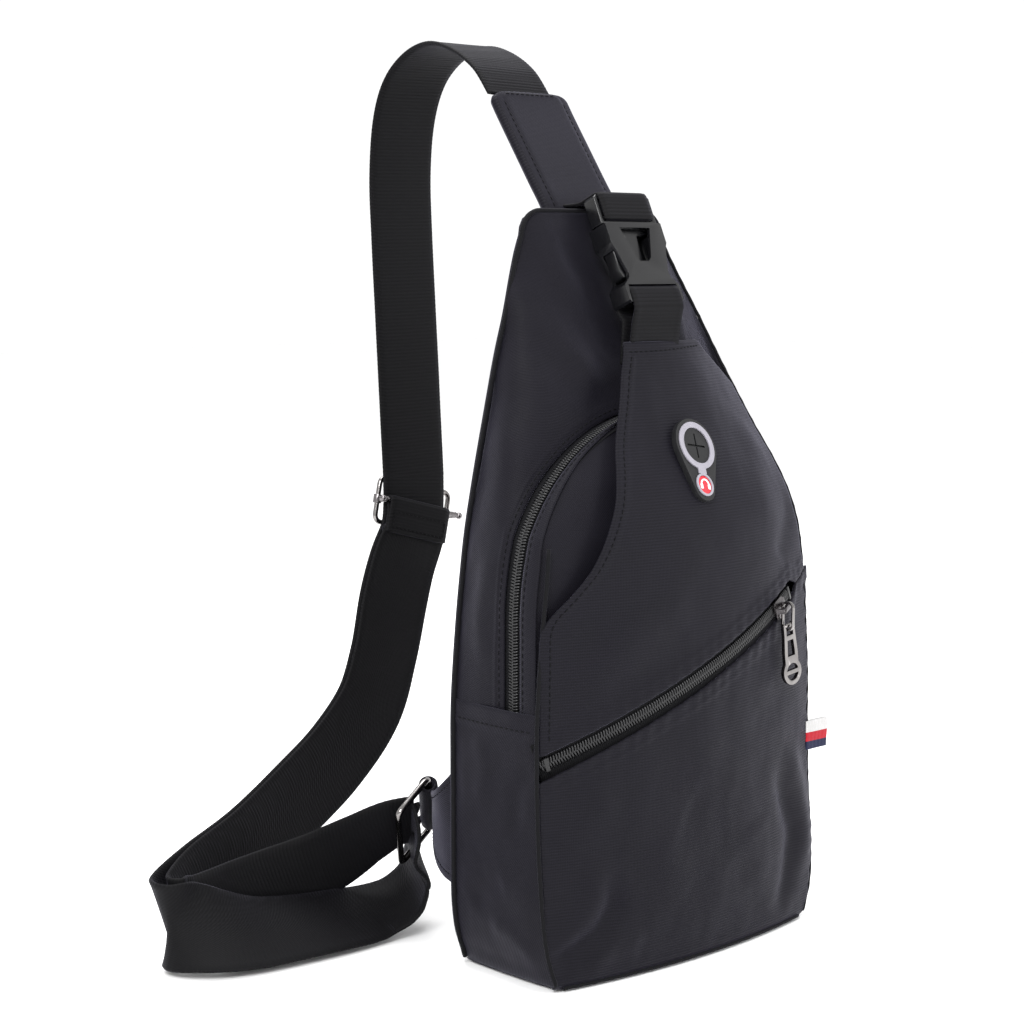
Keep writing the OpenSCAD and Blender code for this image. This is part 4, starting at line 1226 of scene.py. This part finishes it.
def sleeve(t, s):
    a = 360 * t
    x = -16.6 + 33.2 * s
    r = 3.15 - 0.25 * abs(2 * s - 1) ** 6
    return ring_pt(x, 11.5 + r * cosd(a), r * sind(a))


skin("ring_tab_loop", grid(30, 40, sleeve), 1.4, -1, M["shell"], lambda i, j, p: 0.06 * wob(*p, 4, 62),
     slot="shell_fabric", replaces=("tab_sleeve",))

# padded sleeve at the root of the strap
CP = [(0, 30.2, 311), (0, 30.8, 321), (0, 35, 331), (0, 44, 344), (0, 54, 358.5), (0, 64, 373),
      (0, 70.5, 383)]


def cover(side):
    def f(t, s):
        u = 6 * t
        p = catmull(CP, u)
        d = (catmull(CP, min(u + 0.05, 6)) - catmull(CP, max(u - 0.05, 0))).normalized()
        o = V((0, -d.z, d.y))
        w = 22.4 + 1.6 * smooth((0.3 - t) / 0.3)
        w -= 8 * (1 - math.sqrt(max(0.0, 1 - max(0.0, (t - 0.915) / 0.085) ** 2)))
        e = 1 - abs(2 * s - 1)
        puff = smooth(e / 0.3) ** 0.7 * smooth(t / 0.06 + 0.3) * smooth((1 - t) / 0.05 + 0.3)
        seam = -0.25 * math.exp(-((e * w - 3.6) / 0.8) ** 2)
        h = (0.6 + 0.8 * puff + seam) if side > 0 else -(3.9 + 1.4 * puff)
        return p + V((w * (2 * s - 1), 0, 0)) + o * h
    return f


def closed_pair(name, A, B, mat, **kw):
    """a closed form from its front grid A and its rear grid B, which share an outline"""
    n, m = len(A), len(A[0])
    U = arc_uv(A)
    verts = [p for r in A for p in r] + [p for r in B for p in r]
    uvs = [u for r in U for u in r] * 2
    for i, j in outline(n, m):
        a, b = A[i][j], B[i][j]
        p, q = clamp(i, 1, n - 2), clamp(j, 1, m - 2)
        inner = (A[p][q] + B[p][q]) / 2
        mid = (a + b) / 2
        verts.append(mid + (mid - inner).normalized() * (a - b).length * 0.3)
        uvs.append(U[i][j])
    return mesh(name, verts, double_faces(n, m), mat, uvs=uvs, **kw)


A, B = grid(80, 48, cover(1)), grid(80, 48, cover(-1))
root = closed_pair("strap_root_pad", A, B, M["shell"], slot="shell_fabric", replaces=("strap_cover",))
NA = normals(A, -1)
for j in (4, 43):
    stitches([(A[i][j], NA[i][j]) for i in range(3, 74)])
stitches([(A[76][j], NA[76][j]) for j in range(5, 43)])


# ---------------------------------------------------------------- side release buckle
for node, width in (("socket", 0.75), ("plug", 0.6), ("arm_left", 0.6), ("arm_right", 0.6)):
    copy_cad("buckle_" + node, M["plastic"], width, 3)
loop = [(12.0, -48.2), (7.8, -40.4), (3.9, -33), (3.3, -30.4), (4.3, -27.6), (4.3, -24)]
loop += [(3.6, -20.2), (1.5, -19.3), (-1.5, -19.2), (-3.6, -19.6), (-4.6, -21.6), (-4.6, -27.6),
         (-3.2, -30.0), (-0.6, -33.4), (4.0, -40.6), (9.0, -49)]
profile("buckle_webbing_low", at_buckle, loop[::-1], 15, 1.5, "bag", 0.0, rib=1.9, slot="webbing",
        replaces=("buckle_web_low",))
roll = [(3.9, 12.0), (3.95, 12.8), (3.6, 13.4), (2.4, 13.8), (-2.4, 13.8), (-4.2, 13.5), (-5.1, 14.4),
        (-5.3, 17), (-5.3, 21), (-5.1, 24.5), (-4.3, 26.6), (-2.2, 27.5), (2, 27.6), (7.8, 27.8),
        (14.3, 29.9), (19.6, 32.1)]
top = profile("buckle_webbing_top", at_buckle, roll[::-1], 14.9, 1.5, None, 0.0, rib=1.9, slot="webbing",
              replaces=("buckle_web_top", "buckle_web_root"))[0]
tuple(at_buckle(0, 8, 27.6) * MM)
tuple(at_buckle(0, 17, 31) * MM)
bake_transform(top)

# ---------------------------------------------------------------- port and label
for node, look, width, segments in (("plate", "rubber", 0.5, 3), ("loop", "grey", 0.45, 3),
                                    ("badge", "red", 0.3, 3), ("symbol", "white", 0.12, 2)):
    copy_cad("port_" + node, M[look], width, segments)

LABEL = [cloth_mat("label_" + name, colour, "rib", 0.7, 0.6, 0.2, 0.5, 0.0002)
         for name, colour in (("navy", (0.006, 0.008, 0.028)), ("red", (0.30, 0.008, 0.014)),
                              ("white", (0.42, 0.415, 0.41)))]
x0, x1, z0, z1 = hw(84) - 2.0, hw(84) + 13.2, 78.8, 92.2
path = [(mix(x0, x1 - 0.6, i / 20), -29.05) for i in range(21)]
path += [(x1 - 0.6 + 0.62 * cosd(a), -28.4 + 0.65 * sind(a)) for a in range(-75, 76, 15)]
path += [(mix(x1 - 0.6, x0, i / 20), -27.75) for i in range(21)]
rows = [[V((x, y + 0.25 * math.sin((z0 + k * 0.5 - 75) * 0.35) * smooth((x - x0) / 8),
            z0 + (z1 - z0) * k / 28)) for k in range(29)] for x, y in path]
o = skin("side_label", rows, 0.55, -1, LABEL, lambda i, j, p: 0.05 * math.cos(p[0] * 2 * math.pi / 1.0),
         slot="label_ribbon", replaces=("label",))[0]
for f in o.data.polygons:
    t = (f.center.z / MM - z0) / (z1 - z0)
    f.material_index = 2 if t > 0.62 else 1 if t > 0.28 else 0

# ---------------------------------------------------------------- stitches
for (body, key), parts in STITCH.items():
    v, f, u = join(parts)
    mesh("stitches_" + body, v, f, M[key], body=body, slot="binding" if body == "bag" else "webbing")

# ---------------------------------------------------------------- camera, floor and light
cam = bpy.data.objects.new("camera", bpy.data.cameras.new("camera"))
scene.collection.objects.link(cam)
cam.location = (-0.706, -0.676, 0.306)
cam.rotation_euler = (V((-0.076, 0.0, 0.201)) - cam.location).to_track_quat("-Z", "Y").to_euler()
cam.data.lens = 77.34
cam.data.sensor_width = 36
scene.camera = cam

wall = Nodes("backdrop")
vec = wall.objxyz()[0]
tone = wall.ramp(wall.noise(vec, 3.0), [(0.0, (0.93, 0.93, 0.93)), (1.0, (0.95, 0.95, 0.95))])
wall.finish(tone, 0.9)
me = bpy.data.meshes.new("floor")
me.from_pydata([(-6, -6, -0.0004), (6, -6, -0.0004), (6, 6, -0.0004), (-6, 6, -0.0004)], [], [(0, 1, 2, 3)])
floor = bpy.data.objects.new("floor", me)
me.materials.append(wall.m)
scene.collection.objects.link(floor)

world = bpy.data.worlds.new("studio")
scene.world = world
world.use_nodes = True
world.node_tree.nodes["Background"].inputs[0].default_value = (1, 1, 1, 1)
world.node_tree.nodes["Background"].inputs[1].default_value = 1.06


def area(name, loc, target, size, power):
    light = bpy.data.lights.new(name, "AREA")
    light.shape = "SQUARE"
    light.size = size
    light.energy = power
    o = bpy.data.objects.new(name, light)
    scene.collection.objects.link(o)
    o.location = loc
    o.rotation_euler = (V(target) - o.location).to_track_quat("-Z", "Y").to_euler()


area("key", (-1.3, -0.9, 1.3), (0, 0, 0.2), 0.8, 34)
area("front", (0.7, -1.5, 0.8), (0, 0, 0.2), 0.8, 12)
area("top", (0.1, 0.5, 1.7), (0, 0, 0.2), 1.0, 26)
scene.view_settings.view_transform = "Standard"
scene.view_settings.look = "None"
